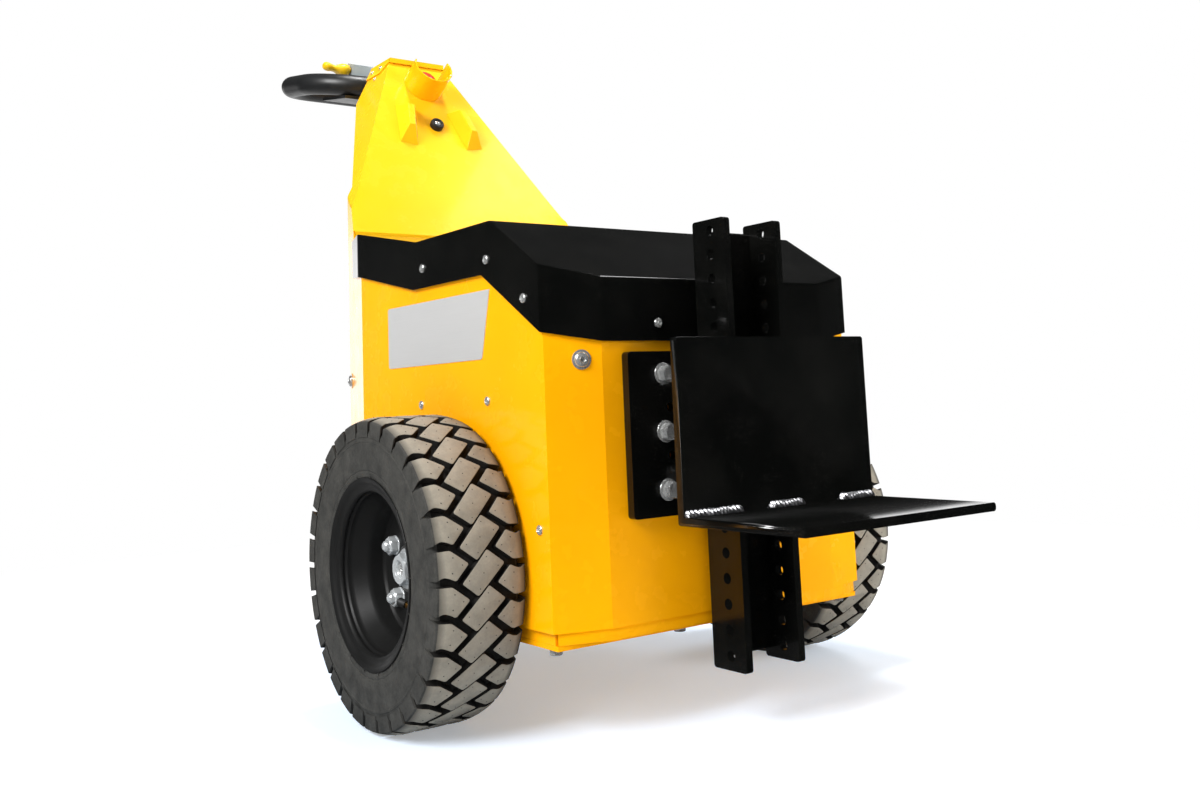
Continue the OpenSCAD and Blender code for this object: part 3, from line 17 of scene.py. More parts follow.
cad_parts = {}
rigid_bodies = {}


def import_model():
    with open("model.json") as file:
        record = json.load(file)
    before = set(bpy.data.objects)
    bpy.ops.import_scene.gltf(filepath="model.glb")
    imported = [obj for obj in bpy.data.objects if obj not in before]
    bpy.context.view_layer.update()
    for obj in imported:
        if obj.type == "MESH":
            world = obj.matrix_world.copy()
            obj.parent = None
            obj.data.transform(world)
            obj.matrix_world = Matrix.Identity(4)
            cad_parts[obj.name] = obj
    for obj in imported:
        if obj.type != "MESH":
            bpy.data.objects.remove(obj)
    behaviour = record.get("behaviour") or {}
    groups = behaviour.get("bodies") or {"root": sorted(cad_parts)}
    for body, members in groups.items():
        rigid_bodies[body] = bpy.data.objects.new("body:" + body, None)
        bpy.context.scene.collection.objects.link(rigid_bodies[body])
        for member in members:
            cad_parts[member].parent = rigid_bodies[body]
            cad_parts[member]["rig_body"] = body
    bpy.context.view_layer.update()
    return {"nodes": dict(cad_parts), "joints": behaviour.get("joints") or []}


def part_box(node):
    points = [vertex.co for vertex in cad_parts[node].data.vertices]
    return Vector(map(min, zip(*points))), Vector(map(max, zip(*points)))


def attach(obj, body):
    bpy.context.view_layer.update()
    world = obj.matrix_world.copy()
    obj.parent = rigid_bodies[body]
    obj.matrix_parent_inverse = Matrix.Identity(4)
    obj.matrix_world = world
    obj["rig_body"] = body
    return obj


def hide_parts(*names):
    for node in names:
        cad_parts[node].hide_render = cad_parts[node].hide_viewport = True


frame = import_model()
nodes = frame["nodes"]
joint_at = {joint["name"]: Vector(joint["pos_m"]) for joint in frame["joints"] if "pos_m" in joint}
MM = 0.001
print("solids in the frame:", len(nodes))

# %% [markdown]
# The camera comes first, so that every later look is judged from where the photographer stood:
# low, in front of the left wheel, with a moderately wide lens. A small vertical shift keeps the
# upright edges nearly parallel, as a view camera does.

# %% Camera
camera_data = bpy.data.cameras.new("camera")
camera_data.sensor_width = 36
camera_data.lens = 34.66
camera_data.shift_y = -0.1083
camera = bpy.data.objects.new("camera", camera_data)
bpy.context.scene.collection.objects.link(camera)
EYE = (-0.98575, -1.55480, 0.39377)
PAN, TILT, ROLL = -35.85, 96.456, -2.361


def turned(degrees, axis):
    return Matrix.Rotation(math.radians(degrees), 4, axis)


camera.matrix_world = Matrix.Translation(EYE) @ turned(PAN, "Z") @ turned(TILT, "X") @ turned(ROLL, "Z")
bpy.context.scene.camera = camera
bpy.context.scene.view_settings.view_transform = "Standard"
print("camera at", tuple(round(c, 3) for c in camera.location))

# %% [markdown]
# A material here is a Principled shader with a few texture nodes in front of it. A small class
# keeps each recipe short: it adds a node, sets it and hands back the socket to plug in next.
# All patterns read Object coordinates, which are metres on these pieces, so a noise of scale
# 400 has grains of about 2.5 mm wherever it is used.


# %% A small kit for materials
class Finish:
    def __init__(self, name, colour, rough, metal=0.0, **more):
        self.material = bpy.data.materials.new(name)
        self.material.use_nodes = True
        self.tree = self.material.node_tree
        self.shader = self.tree.nodes["Principled BSDF"]
        self.colour = (*colour, 1.0)
        self.set("Base Color", self.colour)
        self.set("Roughness", rough)
        self.set("Metallic", metal)
        for socket, value in more.items():
            self.set(socket.replace("_", " ").title().replace("Ior", "IOR"), value)
        self.here = self.add("ShaderNodeTexCoord").outputs["Object"]

    def add(self, kind, **settings):
        node = self.tree.nodes.new(kind)
        for key, value in settings.items():
            setattr(node, key, value)
        return node

    def plug(self, value, socket):
        if isinstance(value, bpy.types.NodeSocket):
            self.tree.links.new(value, socket)
        else:
            socket.default_value = value

    def set(self, socket, value):
        self.plug(value, self.shader.inputs[socket])

    def stretched(self, scale):
        node = self.add("ShaderNodeMapping")
        self.plug(self.here, node.inputs["Vector"])
        self.plug(scale, node.inputs["Scale"])
        return node.outputs["Vector"]

    def noise(self, scale, detail=3.0, rough=0.5, where=None):
        node = self.add("ShaderNodeTexNoise")
        self.plug(where or self.here, node.inputs["Vector"])
        self.plug(scale, node.inputs["Scale"])
        self.plug(detail, node.inputs["Detail"])
        self.plug(rough, node.inputs["Roughness"])
        return node.outputs["Fac"]

    def cells(self, scale):
        node = self.add("ShaderNodeTexVoronoi")
        self.plug(self.here, node.inputs["Vector"])
        self.plug(scale, node.inputs["Scale"])
        return node.outputs["Distance"]

    def part(self, axis):
        node = self.add("ShaderNodeSeparateXYZ")
        self.plug(self.here, node.inputs["Vector"])
        return node.outputs[axis]

    def math(self, operation, a, b=0.0):
        node = self.add("ShaderNodeMath", operation=operation)
        self.plug(a, node.inputs[0])
        self.plug(b, node.inputs[1])
        return node.outputs["Value"]

    def ramp(self, value, low, high, start=0.0, end=1.0):
        node = self.add("ShaderNodeMapRange")
        for key, number in zip(("Value", "From Min", "From Max", "To Min", "To Max"),
                               (value, low, high, start, end)):
            self.plug(number, node.inputs[key])
        return node.outputs["Result"]

    def mix(self, factor, a, b):
        node = self.add("ShaderNodeMix", data_type="RGBA")
        self.plug(factor, node.inputs["Factor"])
        for colour, socket in ((a, node.inputs[6]), (b, node.inputs[7])):
            self.plug((*colour, 1.0) if isinstance(colour, tuple) and len(colour) == 3 else colour, socket)
        return node.outputs[2]

    def bump(self, height, depth_mm):
        node = self.add("ShaderNodeBump")
        self.plug(height, node.inputs["Height"])
        self.plug(depth_mm * MM, node.inputs["Distance"])
        self.plug(1.0, node.inputs["Strength"])
        self.set("Normal", node.outputs["Normal"])


# %% [markdown]
# Stove enamel on the sheet metal is a warm yellow under a thin glossy skin. The colour moves a
# little over each panel, the highlights are tinted by the pigment under them, and the skin has
# the faint orange peel that sprayed paint keeps. The tower has the body's paint, painted lighter
# and more lemon as painted light for the stronger light on its face; the guard's yellow is a
# little more lemon than the body's.


# %% Yellow enamel
YELLOW_SHINE = (1.0, 0.55, 0.02, 1.0)
YELLOW_DUST = (0.85, 0.58, 0.20)


def enamel(name, colour, deep, coat=0.55):
    paint = Finish(name, colour, 0.34, coat_weight=coat, coat_roughness=0.06, coat_ior=1.5,
                   specular_tint=YELLOW_SHINE)
    drift = paint.ramp(paint.noise(5.0, 2), 0.35, 0.7)
    film = paint.ramp(paint.noise(55.0, 5, 0.65), 0.55, 0.85, 0.0, 0.012)
    paint.set("Base Color", paint.mix(film, paint.mix(drift, colour, deep), YELLOW_DUST))
    paint.set("Roughness", paint.ramp(paint.noise(30.0, 4), 0.3, 0.75, 0.20, 0.32))
    paint.bump(paint.noise(420.0, 2), 0.02)
    return paint.material


body_yellow = enamel("body_yellow", (1.0, 0.42, 0.0015), (0.98, 0.385, 0.001), coat=0.45)
# painted light: the tower's yellow is the body's paint made lighter for the light on its face
tower_painted_light_yellow = enamel("tower_painted_light_yellow", (1.0, 0.53, 0.010), (1.0, 0.50, 0.008), coat=0.1)
guard_yellow = enamel("guard_yellow", (1.0, 0.48, 0.004), (1.0, 0.44, 0.003))
print("yellows:", body_yellow.name, tower_painted_light_yellow.name, guard_yellow.name)

# %% [markdown]
# The cowl, hitch and plates are gloss black. On a real machine such a surface is never clean:
# pale dust specks and small soft smears lie on it, and they are what makes it read as paint.


# %% Gloss black
JET, PALE_DUST = (0.0020, 0.0022, 0.0020), (0.42, 0.39, 0.34)


def gloss_black(name, specks=1.0, rough=0.13):
    paint = Finish(name, JET, rough, coat_weight=0.12, coat_roughness=0.07, coat_ior=1.5,
                   specular_ior_level=0.32)
    grain = paint.ramp(paint.cells(520.0), 0.0, 0.16, 1.0, 0.0)
    patch = paint.ramp(paint.noise(24.0, 4, 0.7), 0.52, 0.72)
    dust = paint.math("MULTIPLY", paint.math("MULTIPLY", grain, patch), 0.55 * specks)
    haze = paint.ramp(paint.noise(9.0, 5, 0.6), 0.45, 0.8, 0.0, 0.008 * specks)
    paint.set("Base Color", paint.mix(paint.math("ADD", dust, haze), JET, PALE_DUST))
    paint.set("Roughness", paint.ramp(paint.noise(14.0, 5, 0.7), 0.35, 0.75, rough, rough + 0.07))
    paint.bump(paint.noise(330.0, 2), 0.012)
    return paint.material


cowl_black = gloss_black("cowl_black")
plate_black = gloss_black("plate_black", specks=1.3, rough=0.16)
print("blacks:", cowl_black.name, plate_black.name)

# %% [markdown]
# Bright fasteners are zinc plated or chromed. A metal shows mostly what it reflects, so its own
# recipe needs only a light tint and a roughness that wanders a little.


# %% Bright metals
def bright_metal(name, colour, rough, grain=60.0, spread=0.12, depth=0.006, metal_share=1.0):
    metal = Finish(name, colour, rough, metal=metal_share)
    stain = metal.ramp(metal.noise(grain * 0.4, 4, 0.6), 0.4, 0.75)
    metal.set("Base Color", metal.mix(stain, colour, tuple(c * 0.84 for c in colour)))
    metal.set("Roughness", metal.ramp(metal.noise(grain, 5, 0.7), 0.3, 0.7, rough, rough + spread))
    metal.bump(metal.noise(grain * 6, 3), depth)
    return metal.material


chrome = bright_metal("chrome", (0.80, 0.83, 0.84), 0.14, spread=0.10, metal_share=0.62)
zinc = bright_metal("zinc", (0.80, 0.81, 0.80), 0.18, metal_share=0.8)
hub_steel = bright_metal("hub_steel", (0.36, 0.35, 0.34), 0.30, spread=0.2, depth=0.02)
brass = bright_metal("brass", (0.78, 0.50, 0.20), 0.22)
weld_metal = bright_metal("weld_metal", (0.50, 0.50, 0.52), 0.22, grain=260.0, spread=0.25, depth=0.12)
cast_metal = bright_metal("cast_metal", (0.42, 0.42, 0.41), 0.42, grain=110.0, depth=0.12)


def brushed(name, colour, scale):
    metal = Finish(name, colour, 0.40, metal=0.35)
    lines = metal.noise(1.0, 4, 0.6, metal.stretched(scale))
    metal.set("Base Color", metal.mix(lines, tuple(c * 0.86 for c in colour), colour))
    metal.set("Roughness", metal.ramp(lines, 0.3, 0.7, 0.30, 0.46))
    metal.bump(lines, 0.01)
    return metal.material


label_silver = brushed("label_silver", (0.63, 0.63, 0.625), (900.0, 12.0, 900.0))
print("metals:", chrome.name, zinc.name, hub_steel.name, brass.name, weld_metal.name, cast_metal.name)

# %% [markdown]
# Tyre rubber is nearly black, but a tyre that has stood about is grey brown where the mould left
# its tops and dust has settled. The tread tops, the side wall and the grooves get a recipe each.
# The grooves are painted shade: the side wall's rubber made about four times darker.
# The tread tops turn darker towards both shoulders.


# %% Rubber
WHEEL_X = joint_at["right_wheel_spin"].x
# the darker tone the tread tops take towards both shoulders
SHOULDER_DARKER = (0.055, 0.051, 0.044)


def rubber(name, colour, dusty, reach, rough=0.72, depth=0.08, grain=380.0, edge=None):
    gum = Finish(name, colour, rough, specular_ior_level=0.2)
    soft = gum.ramp(gum.noise(46.0, 5, 0.65), 0.3, 0.75, 0.0, reach)
    fine = gum.ramp(gum.noise(grain, 4, 0.7), 0.35, 0.7, -0.12, 0.18)
    tone = gum.mix(gum.math("ADD", soft, fine), colour, dusty)
    if edge:
        # Towards both shoulders the tread tops turn darker.
        off_wheel = gum.math("SUBTRACT", gum.math("ABSOLUTE", gum.part("X")), WHEEL_X)
        across = gum.math("ABSOLUTE", off_wheel)
        tone = gum.mix(gum.ramp(across, 0.047, 0.0575), tone, edge)
    gum.set("Base Color", tone)
    gum.set("Roughness", gum.ramp(gum.noise(90.0, 4), 0.3, 0.7, rough - 0.1, rough + 0.14))
    gum.bump(gum.noise(grain, 4, 0.65), depth)
    return gum.material


tread_top = rubber("tread_top", (0.205, 0.186, 0.150), (0.295, 0.268, 0.216), 0.9, edge=SHOULDER_DARKER)
tyre_rubber = rubber("tyre_rubber", (0.027, 0.027, 0.025), (0.078, 0.075, 0.067), 0.55)
# painted shade: groove floors and block walls get the side wall's rubber made about four times darker
groove_rubber_painted_shade = rubber("groove_rubber_painted_shade", (0.007, 0.0066, 0.006), (0.026, 0.023, 0.020), 0.5, rough=0.8)
buffer_rubber = rubber("buffer_rubber", (0.010, 0.009, 0.009), (0.04, 0.036, 0.032), 0.4, rough=0.45,
                       depth=0.03)
print("wheel middle at x in metres:", round(WHEEL_X, 4))

# %% [markdown]
# The rest are plastics, powder coat and moulded skins. They share one recipe: a body colour, a
# fine grain in the bump, and a little wear in the roughness. The table gives the frame's slot for
# a material whose slot has another name; any other material goes with the slot of its own name.
# Blender numbers a name that the frame has taken, so the number is dropped before the slot is
# looked up.


# %% Plastics and powder coats
def moulded(name, colour, rough, grain=500.0, depth=0.025, worn=0.12, **more):
    skin = Finish(name, colour, rough, **more)
    drift = skin.ramp(skin.noise(18.0, 4), 0.35, 0.75, 0.0, 0.35)
    skin.set("Base Color", skin.mix(drift, colour, tuple(min(1.0, c * 0.8 + 0.006) for c in colour)))
    skin.set("Roughness", skin.ramp(skin.noise(35.0, 5, 0.7), 0.3, 0.7, rough, rough + worn))
    skin.bump(skin.noise(grain, 3), depth)
    return skin.material


rim_black = moulded("rim_black", (0.009, 0.009, 0.0088), 0.36, grain=300.0, specular_ior_level=0.20)
handle_black = moulded("handle_black", (0.012, 0.0125, 0.013), 0.33, grain=700.0, depth=0.03)
console_grey = moulded("console_grey", (0.30, 0.345, 0.36), 0.42)
lever_yellow = moulded("lever_yellow", (1.0, 0.60, 0.004), 0.30, depth=0.012)
stop_red = moulded("stop_red", (0.90, 0.045, 0.015), 0.26, depth=0.008, coat_weight=0.4)
black_plastic = moulded("black_plastic", (0.013, 0.013, 0.013), 0.45)
battery_case = moulded("battery_case", (0.03, 0.03, 0.032), 0.5, depth=0.05)
castor_core = moulded("castor_core", (0.46, 0.45, 0.42), 0.45)
SLOT_OF = {"body_yellow": "yellow_paint", "tower_painted_light_yellow": "yellow_paint", "guard_yellow": "yellow_paint",
           "cowl_black": "black_gloss", "plate_black": "black_gloss", "black_plastic": "electric_box",
           "cast_metal": "cast_case", "chrome": "zinc", "weld_metal": "zinc"}


def slot_for(material):
    name = material.name.split(".")[0]
    return SLOT_OF.get(name, name)


print("body enamel fills the slot", slot_for(body_yellow), "and rim paint", slot_for(rim_black))

# %% [markdown]
# A solid from the frame comes as loose triangles with knife sharp edges, and nothing real has
# those. So most visible sheets and plates are shown by a copy of their solid: its doubles are
# merged, its flat faces joined, its folds get their bend radius and its cut edges a small round.
# Larger corner radii are asked for by axis: 0 is across, 1 along and 2 up, each with its radius,
# the least angle of the corners meant and their least length. Only corners that stick out get
# the small round, because a filled inner corner would touch its neighbour.
# The bevel operator does the rounding, and the Weighted Normal modifier keeps the flats flat.


# %% Rounded copies of solids
SAME_SPOT, STILL_FLAT = 0.01, 0.3
FOLD_ANGLES, LEAST_FOLD = (8, 62), 12.0
CUT_ANGLES, CORNER_LIMIT = (38, 181), 100
SHARP = 50.0


def merged_copy(node):
    shape = bmesh.new()
    shape.from_mesh(nodes[node].data)
    bmesh.ops.remove_doubles(shape, verts=shape.verts, dist=SAME_SPOT * MM)
    bmesh.ops.dissolve_limit(shape, angle_limit=math.radians(STILL_FLAT), use_dissolve_boundaries=False,
                             verts=shape.verts, edges=shape.edges)
    return shape


def edges_between(shape, low, high, least=0.0, axis=None):
    found = []
    for edge in shape.edges:
        run = edge.verts[1].co - edge.verts[0].co
        turn = math.degrees(edge.calc_face_angle(0.0)) if edge.is_manifold else 0.0
        if low <= turn < high and run.length >= least * MM:
            if axis is None or abs(run[axis]) > 0.99 * run.length:
                found.append(edge)
    return found


def bevel(shape, geom, size, segments, affect):
    bmesh.ops.bevel(shape, geom=geom, offset=size * MM, offset_type="OFFSET", segments=segments,
                    profile=0.5, affect=affect, clamp_overlap=True, material=-1)


def round_off(shape, edges, size, segments=2):
    if edges and size:
        bevel(shape, edges, size, segments, "EDGES")


def finish_piece(name, shape, materials, body, stands_for=(), sharp=SHARP, even=False):
    mesh = bpy.data.meshes.new(name)
    shape.to_mesh(mesh)
    shape.free()
    for material in materials:
        mesh.materials.append(material)
    mesh.shade_smooth()
    mesh.set_sharp_from_angle(angle=math.radians(sharp))
    piece = bpy.data.objects.new(name, mesh)
    bpy.context.scene.collection.objects.link(piece)
    if even:
        normals = piece.modifiers.new("even_normals", "WEIGHTED_NORMAL")
        normals.keep_sharp = True
    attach(piece, body)
    if stands_for:
        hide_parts(*stands_for)
    return piece


def rounded(node, material, edge=0.8, fold=0.0, segments=2, corners=()):
    shape = merged_copy(node)
    for axis, radius, low, least in corners:
        round_off(shape, edges_between(shape, low, CORNER_LIMIT, least, axis), radius, 5)
    if fold:
        round_off(shape, edges_between(shape, *FOLD_ANGLES, LEAST_FOLD), fold, 3)
    round_off(shape, [e for e in edges_between(shape, *CUT_ANGLES) if e.is_convex], edge, segments)
    return finish_piece(node + "_dressed", shape, [material], nodes[node]["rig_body"], [node], even=True)


print("nodes a copy can stand for:", len(nodes))


# %% [markdown]
# Now the sheet metal. Body and tower are 2.5 mm sheet with bends of a few millimetres, the cowl
# is 3 mm, and the hitch is thick plate whose edges are only broken with a file.

# %% Sheets, plates and castings
rounded("body_shell", body_yellow, edge=0.7, fold=2.5, corners=[(2, 5.0, 62, 100.0)])
rounded("rear_access_panel", body_yellow, edge=0.6)
rounded("chassis_frame", body_yellow, edge=1.0)
rounded("base_plate", body_yellow)
rounded("top_cowl", cowl_black, fold=2.5)
rounded("tower_cover", tower_painted_light_yellow, edge=0.7, fold=2.5)
rounded("tower_back", tower_painted_light_yellow, edge=0.6, fold=2.0)
rounded("tower_cap", tower_painted_light_yellow, edge=0.7, fold=1.5)
rounded("stop_guard", guard_yellow, edge=0.9)
rounded("cable_cleats", tower_painted_light_yellow, edge=1.0)
rounded("mount_plate", plate_black, edge=0.9, corners=[(1, 5.0, 80, 5.0)])
rounded("hitch_column", plate_black, corners=[(0, 4.0, 80, 5.0)])
rounded("push_bracket", plate_black, edge=1.2, corners=[(1, 4.0, 80, 5.0), (2, 4.0, 80, 5.0)])
rounded("label_plate", label_silver, edge=0.25, corners=[(0, 4.0, 70, 0.4)])
rounded("handle_bracket", handle_black)
rounded("handle_loop", handle_black, edge=0.0)
rounded("console", console_grey, edge=2.2, segments=3)
rounded("key_switch", zinc, edge=0.5)
rounded("key", zinc, edge=0.5)
rounded("stop_button", stop_red, edge=1.2, segments=3)
rounded("stop_switch", black_plastic, edge=0.6)
rounded("bracket_pins", zinc)
rounded("castor_plate", zinc)
rounded("castor_fork", zinc, edge=1.0)
rounded("castor_axle", zinc, edge=0.6)
rounded("castor_bearing", hub_steel, edge=0.6)
rounded("castor_hub", castor_core, edge=1.0)
rounded("castor_tyre", tyre_rubber, edge=3.0, segments=3)
rounded("axle_bearings", hub_steel, edge=0.6)
rounded("transaxle_case", cast_metal, edge=1.6, segments=3)
rounded("drive_motor", cast_metal)
rounded("motor_brake", cast_metal, edge=1.0)
rounded("batteries", battery_case, edge=3.0, segments=3)
rounded("battery_strap", zinc, edge=0.5)
rounded("motor_controller", black_plastic)
rounded("line_contactor", black_plastic, edge=1.2)
rounded("charger", black_plastic, edge=2.0)

# %% [markdown]
# Everything turned on a lathe is made here by the spin operator. An outline is a list of
# (radius, height) points in millimetres, and a third number rounds that corner with a vertex
# bevel before the spin. A six sided head is a lathed head whose rim is pulled onto a hexagon.


# %% Turned shapes
def lathe(points, steps=48, closed=False, six=(), segments=3):
    shape = bmesh.new()
    corners = [shape.verts.new((point[0] * MM, 0, point[1] * MM)) for point in points]
    pairs = list(zip(corners, corners[1:])) + ([(corners[-1], corners[0])] if closed else [])
    for pair in pairs:
        shape.edges.new(pair)
    for size in sorted({point[2] for point in points if len(point) > 2}):
        group = [c for c, point in zip(corners, points) if len(point) > 2 and point[2] == size]
        bevel(shape, group, size, segments, "VERTICES")
    bmesh.ops.spin(shape, geom=shape.verts[:] + shape.edges[:], cent=(0, 0, 0), axis=(0, 0, 1),
                   angle=2 * math.pi, steps=steps, use_merge=True)
    side = math.radians(60)
    for vert in shape.verts:
        reach = vert.co.xy.length
        if any(abs(reach - corner * MM) < 1e-6 for corner in six):
            angle = math.atan2(vert.co.y, vert.co.x) % side - side / 2
            vert.co.xy *= math.cos(side / 2) / math.cos(angle)
    bmesh.ops.remove_doubles(shape, verts=shape.verts, dist=1e-6)
    bmesh.ops.recalc_face_normals(shape, faces=shape.faces)
    return shape


def place(shape, matrix):
    bmesh.ops.transform(shape, matrix=matrix, verts=shape.verts)
    if matrix.determinant() < 0:
        bmesh.ops.reverse_faces(shape, faces=shape.faces)
    return shape


def gather(parts):
    whole = bmesh.new()
    for shape in parts:
        mesh = bpy.data.meshes.new("part")
        shape.to_mesh(mesh)
        whole.from_mesh(mesh)
        bpy.data.meshes.remove(mesh)
        shape.free()
    return whole


def paint_faces(shape, index, test=lambda face: True):
    for face in shape.faces:
        if test(face):
            face.material_index = index
    return shape


print("a plain ring has", len(lathe([(1, 0), (2, 0), (2, 1), (1, 1)], closed=True).faces), "faces")

# %% [markdown]
# Each drive wheel is drawn with its axle on X, its middle plane at x = 0 and its outer side at
# +X, then set at its joint. The left one is the same shape mirrored, except the tread, whose
# blocks lean the same way on both wheels because both tyres come out of one mould.

# %% Wheel places
LATHE_TO_AXLE = turned(90, "Y")
wheels = {}
for side_name, mirror in (("left", -1), ("right", 1)):
    centre = joint_at[side_name + "_wheel_spin"]
    wheels[side_name] = Matrix.Translation(centre) @ Matrix.Scale(mirror, 4, (1, 0, 0))
tyre_low, tyre_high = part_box("left_tyre")
tyre_r = (tyre_high.z - tyre_low.z) / 2 / MM
print("tyre radius in mm:", round(tyre_r, 2))

# %% [markdown]
# ## The tyre
# The carcass is one lathe: bead, bulging side wall with a moulded ring, shoulder and the floor
# of the grooves. The outline runs up one side, over the crown and down the other.

# %% Tyre carcass
GROOVE = 9.0
CROWN_DROP = 4.0
CROWN_FLAT, CROWN_EDGE = 35.0, 54.5
SIDE_OUTLINE = [
    (103.5, 44.0), (104.5, 50.0, 1.0), (113.4, 52.8, 1.0), (117.0, 55.2, 1.5), (124.5, 56.6, 0.6),
    (125.3, 56.0, 0.3), (126.4, 56.0, 0.3), (127.4, 57.0, 0.8), (140.0, 57.9), (152.0, 58.0),
    (161.6, 57.6, 0.3), (162.4, 58.3, 0.4), (164.6, 58.2, 0.4), (165.6, 57.3, 0.3),
    (172.0, 56.8), (177.5, 54.0, 3.0), (tyre_r - GROOVE - 1.6, 44.0, 6.0), (tyre_r - GROOVE, 30.0),
]
CHAMBER = [(110.0, -46.0), (140.0, -49.0), (168.0, -46.0), (172.0, 0.0), (168.0, 46.0), (140.0, 49.0),
           (110.0, 46.0)]


def crown(u):
    beyond = max(0.0, abs(u) - CROWN_FLAT) / (CROWN_EDGE - CROWN_FLAT)
    return tyre_r - CROWN_DROP * beyond ** 2


def carcass():
    outer = SIDE_OUTLINE + [(p[0], -p[1], *p[2:]) for p in reversed(SIDE_OUTLINE)]
    return place(lathe(outer + CHAMBER, steps=120, closed=True, segments=2), LATHE_TO_AXLE)


print("carcass faces:", len(carcass().faces))

# %% [markdown]
# The tread is three kinds of block, thirty times round. Each block is drawn flat, with u across
# the tyre, v along its rim and h up from the tread. The outlines are let out a little all round,
# which sets the width of the grooves. The far side lugs are the near ones turned half round.

# %% Tread outlines
LUGS = 30
TREAD_EDGE = 58.0
OUTER_LUG = [(-58.0, 0.0), (-41.0, 0.0), (-20.0, -15.6), (-36.0, -32.0), (-43.0, -28.5), (-50.0, -26.5),
             (-58.0, -30.0)]
MIDDLE_BLOCK = [(6.6, -3.3), (26.4, -18.9), (-7.5, -51.7), (-26.4, -37.0)]
LUG_PIPS = [(-27.0, -16.0), (-38.0, -7.0), (-40.0, -24.0)]
TURN_ABOUT = Vector((-0.2, -27.7))
BLOCK_GROWS = 1.1


def centre_of(outline):
    return sum((Vector(p) for p in outline), Vector((0, 0))) / len(outline)


def grown(outline, by):
    middle = centre_of(outline)
    result = []
    for k, point in enumerate(outline):
        here, after, before = Vector(point), Vector(outline[(k + 1) % len(outline)]), Vector(outline[k - 1])
        out = []
        for run in (after - here, here - before):
            normal = Vector((run.y, -run.x)).normalized()
            out.append(normal if normal.dot(here - middle) > 0 else -normal)
        moved = here + (out[0] + out[1]) * by / (1 + out[0].dot(out[1]))
        result.append((max(-TREAD_EDGE, min(TREAD_EDGE, moved.x)), moved.y))
    return result


def inset_points(outline, share=0.72):
    middle = centre_of(outline)
    return [middle] + [middle + (Vector(p) - middle) * share for p in outline]


def turned_over(outline):
    return [tuple(2 * TURN_ABOUT - Vector(p)) for p in outline]


print("middle block reaches u", round(max(u for u, v in grown(MIDDLE_BLOCK, BLOCK_GROWS)), 1))

# %% [markdown]
# A face of a few corners becomes a block: its corners are rounded with a vertex bevel, then it is
# extruded, drafted and edge bevelled, and cut by planes so that it can bend round the crown.
# Small vent pips from the mould stand on it. Faces know if they are worn top, groove or side.

# %% Tread blocks
SIDE_WALL, WORN_TOP, GROOVE_PAINTED_SHADE = 0, 1, 2
BLOCK_CORNER, BLOCK_RIM, DRAFT = 2.3, 0.7, 1.05
INSIDE_EDGE, SIDE_FROM = 57.0, 55.6
LUG_SKIRT, SKIRT_FROM, SKIRT_WIDE = 19.0, 40.0, 17.0
SHOULDER_CUTS = (-55.5, -49.0, -43.0, -36.0, 36.0, 43.0, 49.0, 55.5)
CUT_EVERY = 7.0


def pip(u, v):
    shape = bmesh.new()
    bmesh.ops.create_cone(shape, cap_ends=True, segments=6, radius1=0.95 * MM, radius2=0.3 * MM,
                          depth=0.7 * MM, matrix=Matrix.Translation((u * MM, v * MM, 0.1 * MM)))
    return shape


def cut(shape, at, normal):
    bmesh.ops.bisect_plane(shape, geom=shape.verts[:] + shape.edges[:] + shape.faces[:],
                           plane_co=Vector(at) * MM, plane_no=normal)


def tread_block(outline, pips):
    shape = bmesh.new()
    corners = [shape.verts.new((u * MM, v * MM, 0)) for u, v in grown(outline, BLOCK_GROWS)]
    shape.faces.new(corners)
    inner = [c for c in corners if abs(c.co.x) < INSIDE_EDGE * MM]
    bevel(shape, inner, BLOCK_CORNER, 3, "VERTICES")
    base = shape.verts[:]
    raised = bmesh.ops.extrude_face_region(shape, geom=shape.faces[:])["geom"]
    middle = sum((v.co for v in base), Vector()) / len(base)
    top = [v for v in raised if isinstance(v, bmesh.types.BMVert)]
    for vert in base:
        skirt = max(0.0, min(1.0, (abs(vert.co.x) / MM - SKIRT_FROM) / SKIRT_WIDE))
        draft = DRAFT if abs(vert.co.x) < INSIDE_EDGE * MM else 1.0
        vert.co.xy = middle.xy + (vert.co.xy - middle.xy) * draft
        vert.co.z = -(GROOVE + 1.0 + (LUG_SKIRT - GROOVE - 1.0) * skirt) * MM
    bmesh.ops.recalc_face_normals(shape, faces=shape.faces)
    round_off(shape, [e for e in shape.edges if all(v in top for v in e.verts)], BLOCK_RIM, 2)
    for u in SHOULDER_CUTS:
        cut(shape, (u, 0, 0), (1, 0, 0))
    for step in range(1, 8):
        cut(shape, (0, -CUT_EVERY * step, 0), (0, 1, 0))
    shape.normal_update()
    # painted shade: every face starts as groove, so the block walls take the darker groove colour
    paint_faces(shape, GROOVE_PAINTED_SHADE)
    paint_faces(shape, WORN_TOP, lambda face: face.normal.z > 0.3)
    paint_faces(shape, SIDE_WALL, lambda face: abs(face.calc_center_median().x) > SIDE_FROM * MM)
    return gather([shape] + [pip(u, v) for u, v in pips])


pitch = bpy.data.meshes.new("pitch")
blocks = gather([tread_block(OUTER_LUG, LUG_PIPS),
                 tread_block(turned_over(OUTER_LUG), turned_over(LUG_PIPS)),
                 tread_block(MIDDLE_BLOCK, inset_points(MIDDLE_BLOCK))])
blocks.to_mesh(pitch)
blocks.free()
print("faces in one pitch:", len(pitch.polygons))

# %% [markdown]
# One pitch is now laid round the tyre thirty times: v turns into an angle, and h stands on the
# crown. Eighteen fine moulded ticks go on each side wall, and both tyres are set at their axles.

# %% Round the tyre
TICKS, TICK_SIZE = 18, (1.1, 0.9, 7.4)
TICK_X, TICK_R, TICK_LEAN, FIRST_TICK = 56.1, 120.8, 10, 7
GROOVES_WITHIN, GROOVES_FROM_R = 50.0, 150.0


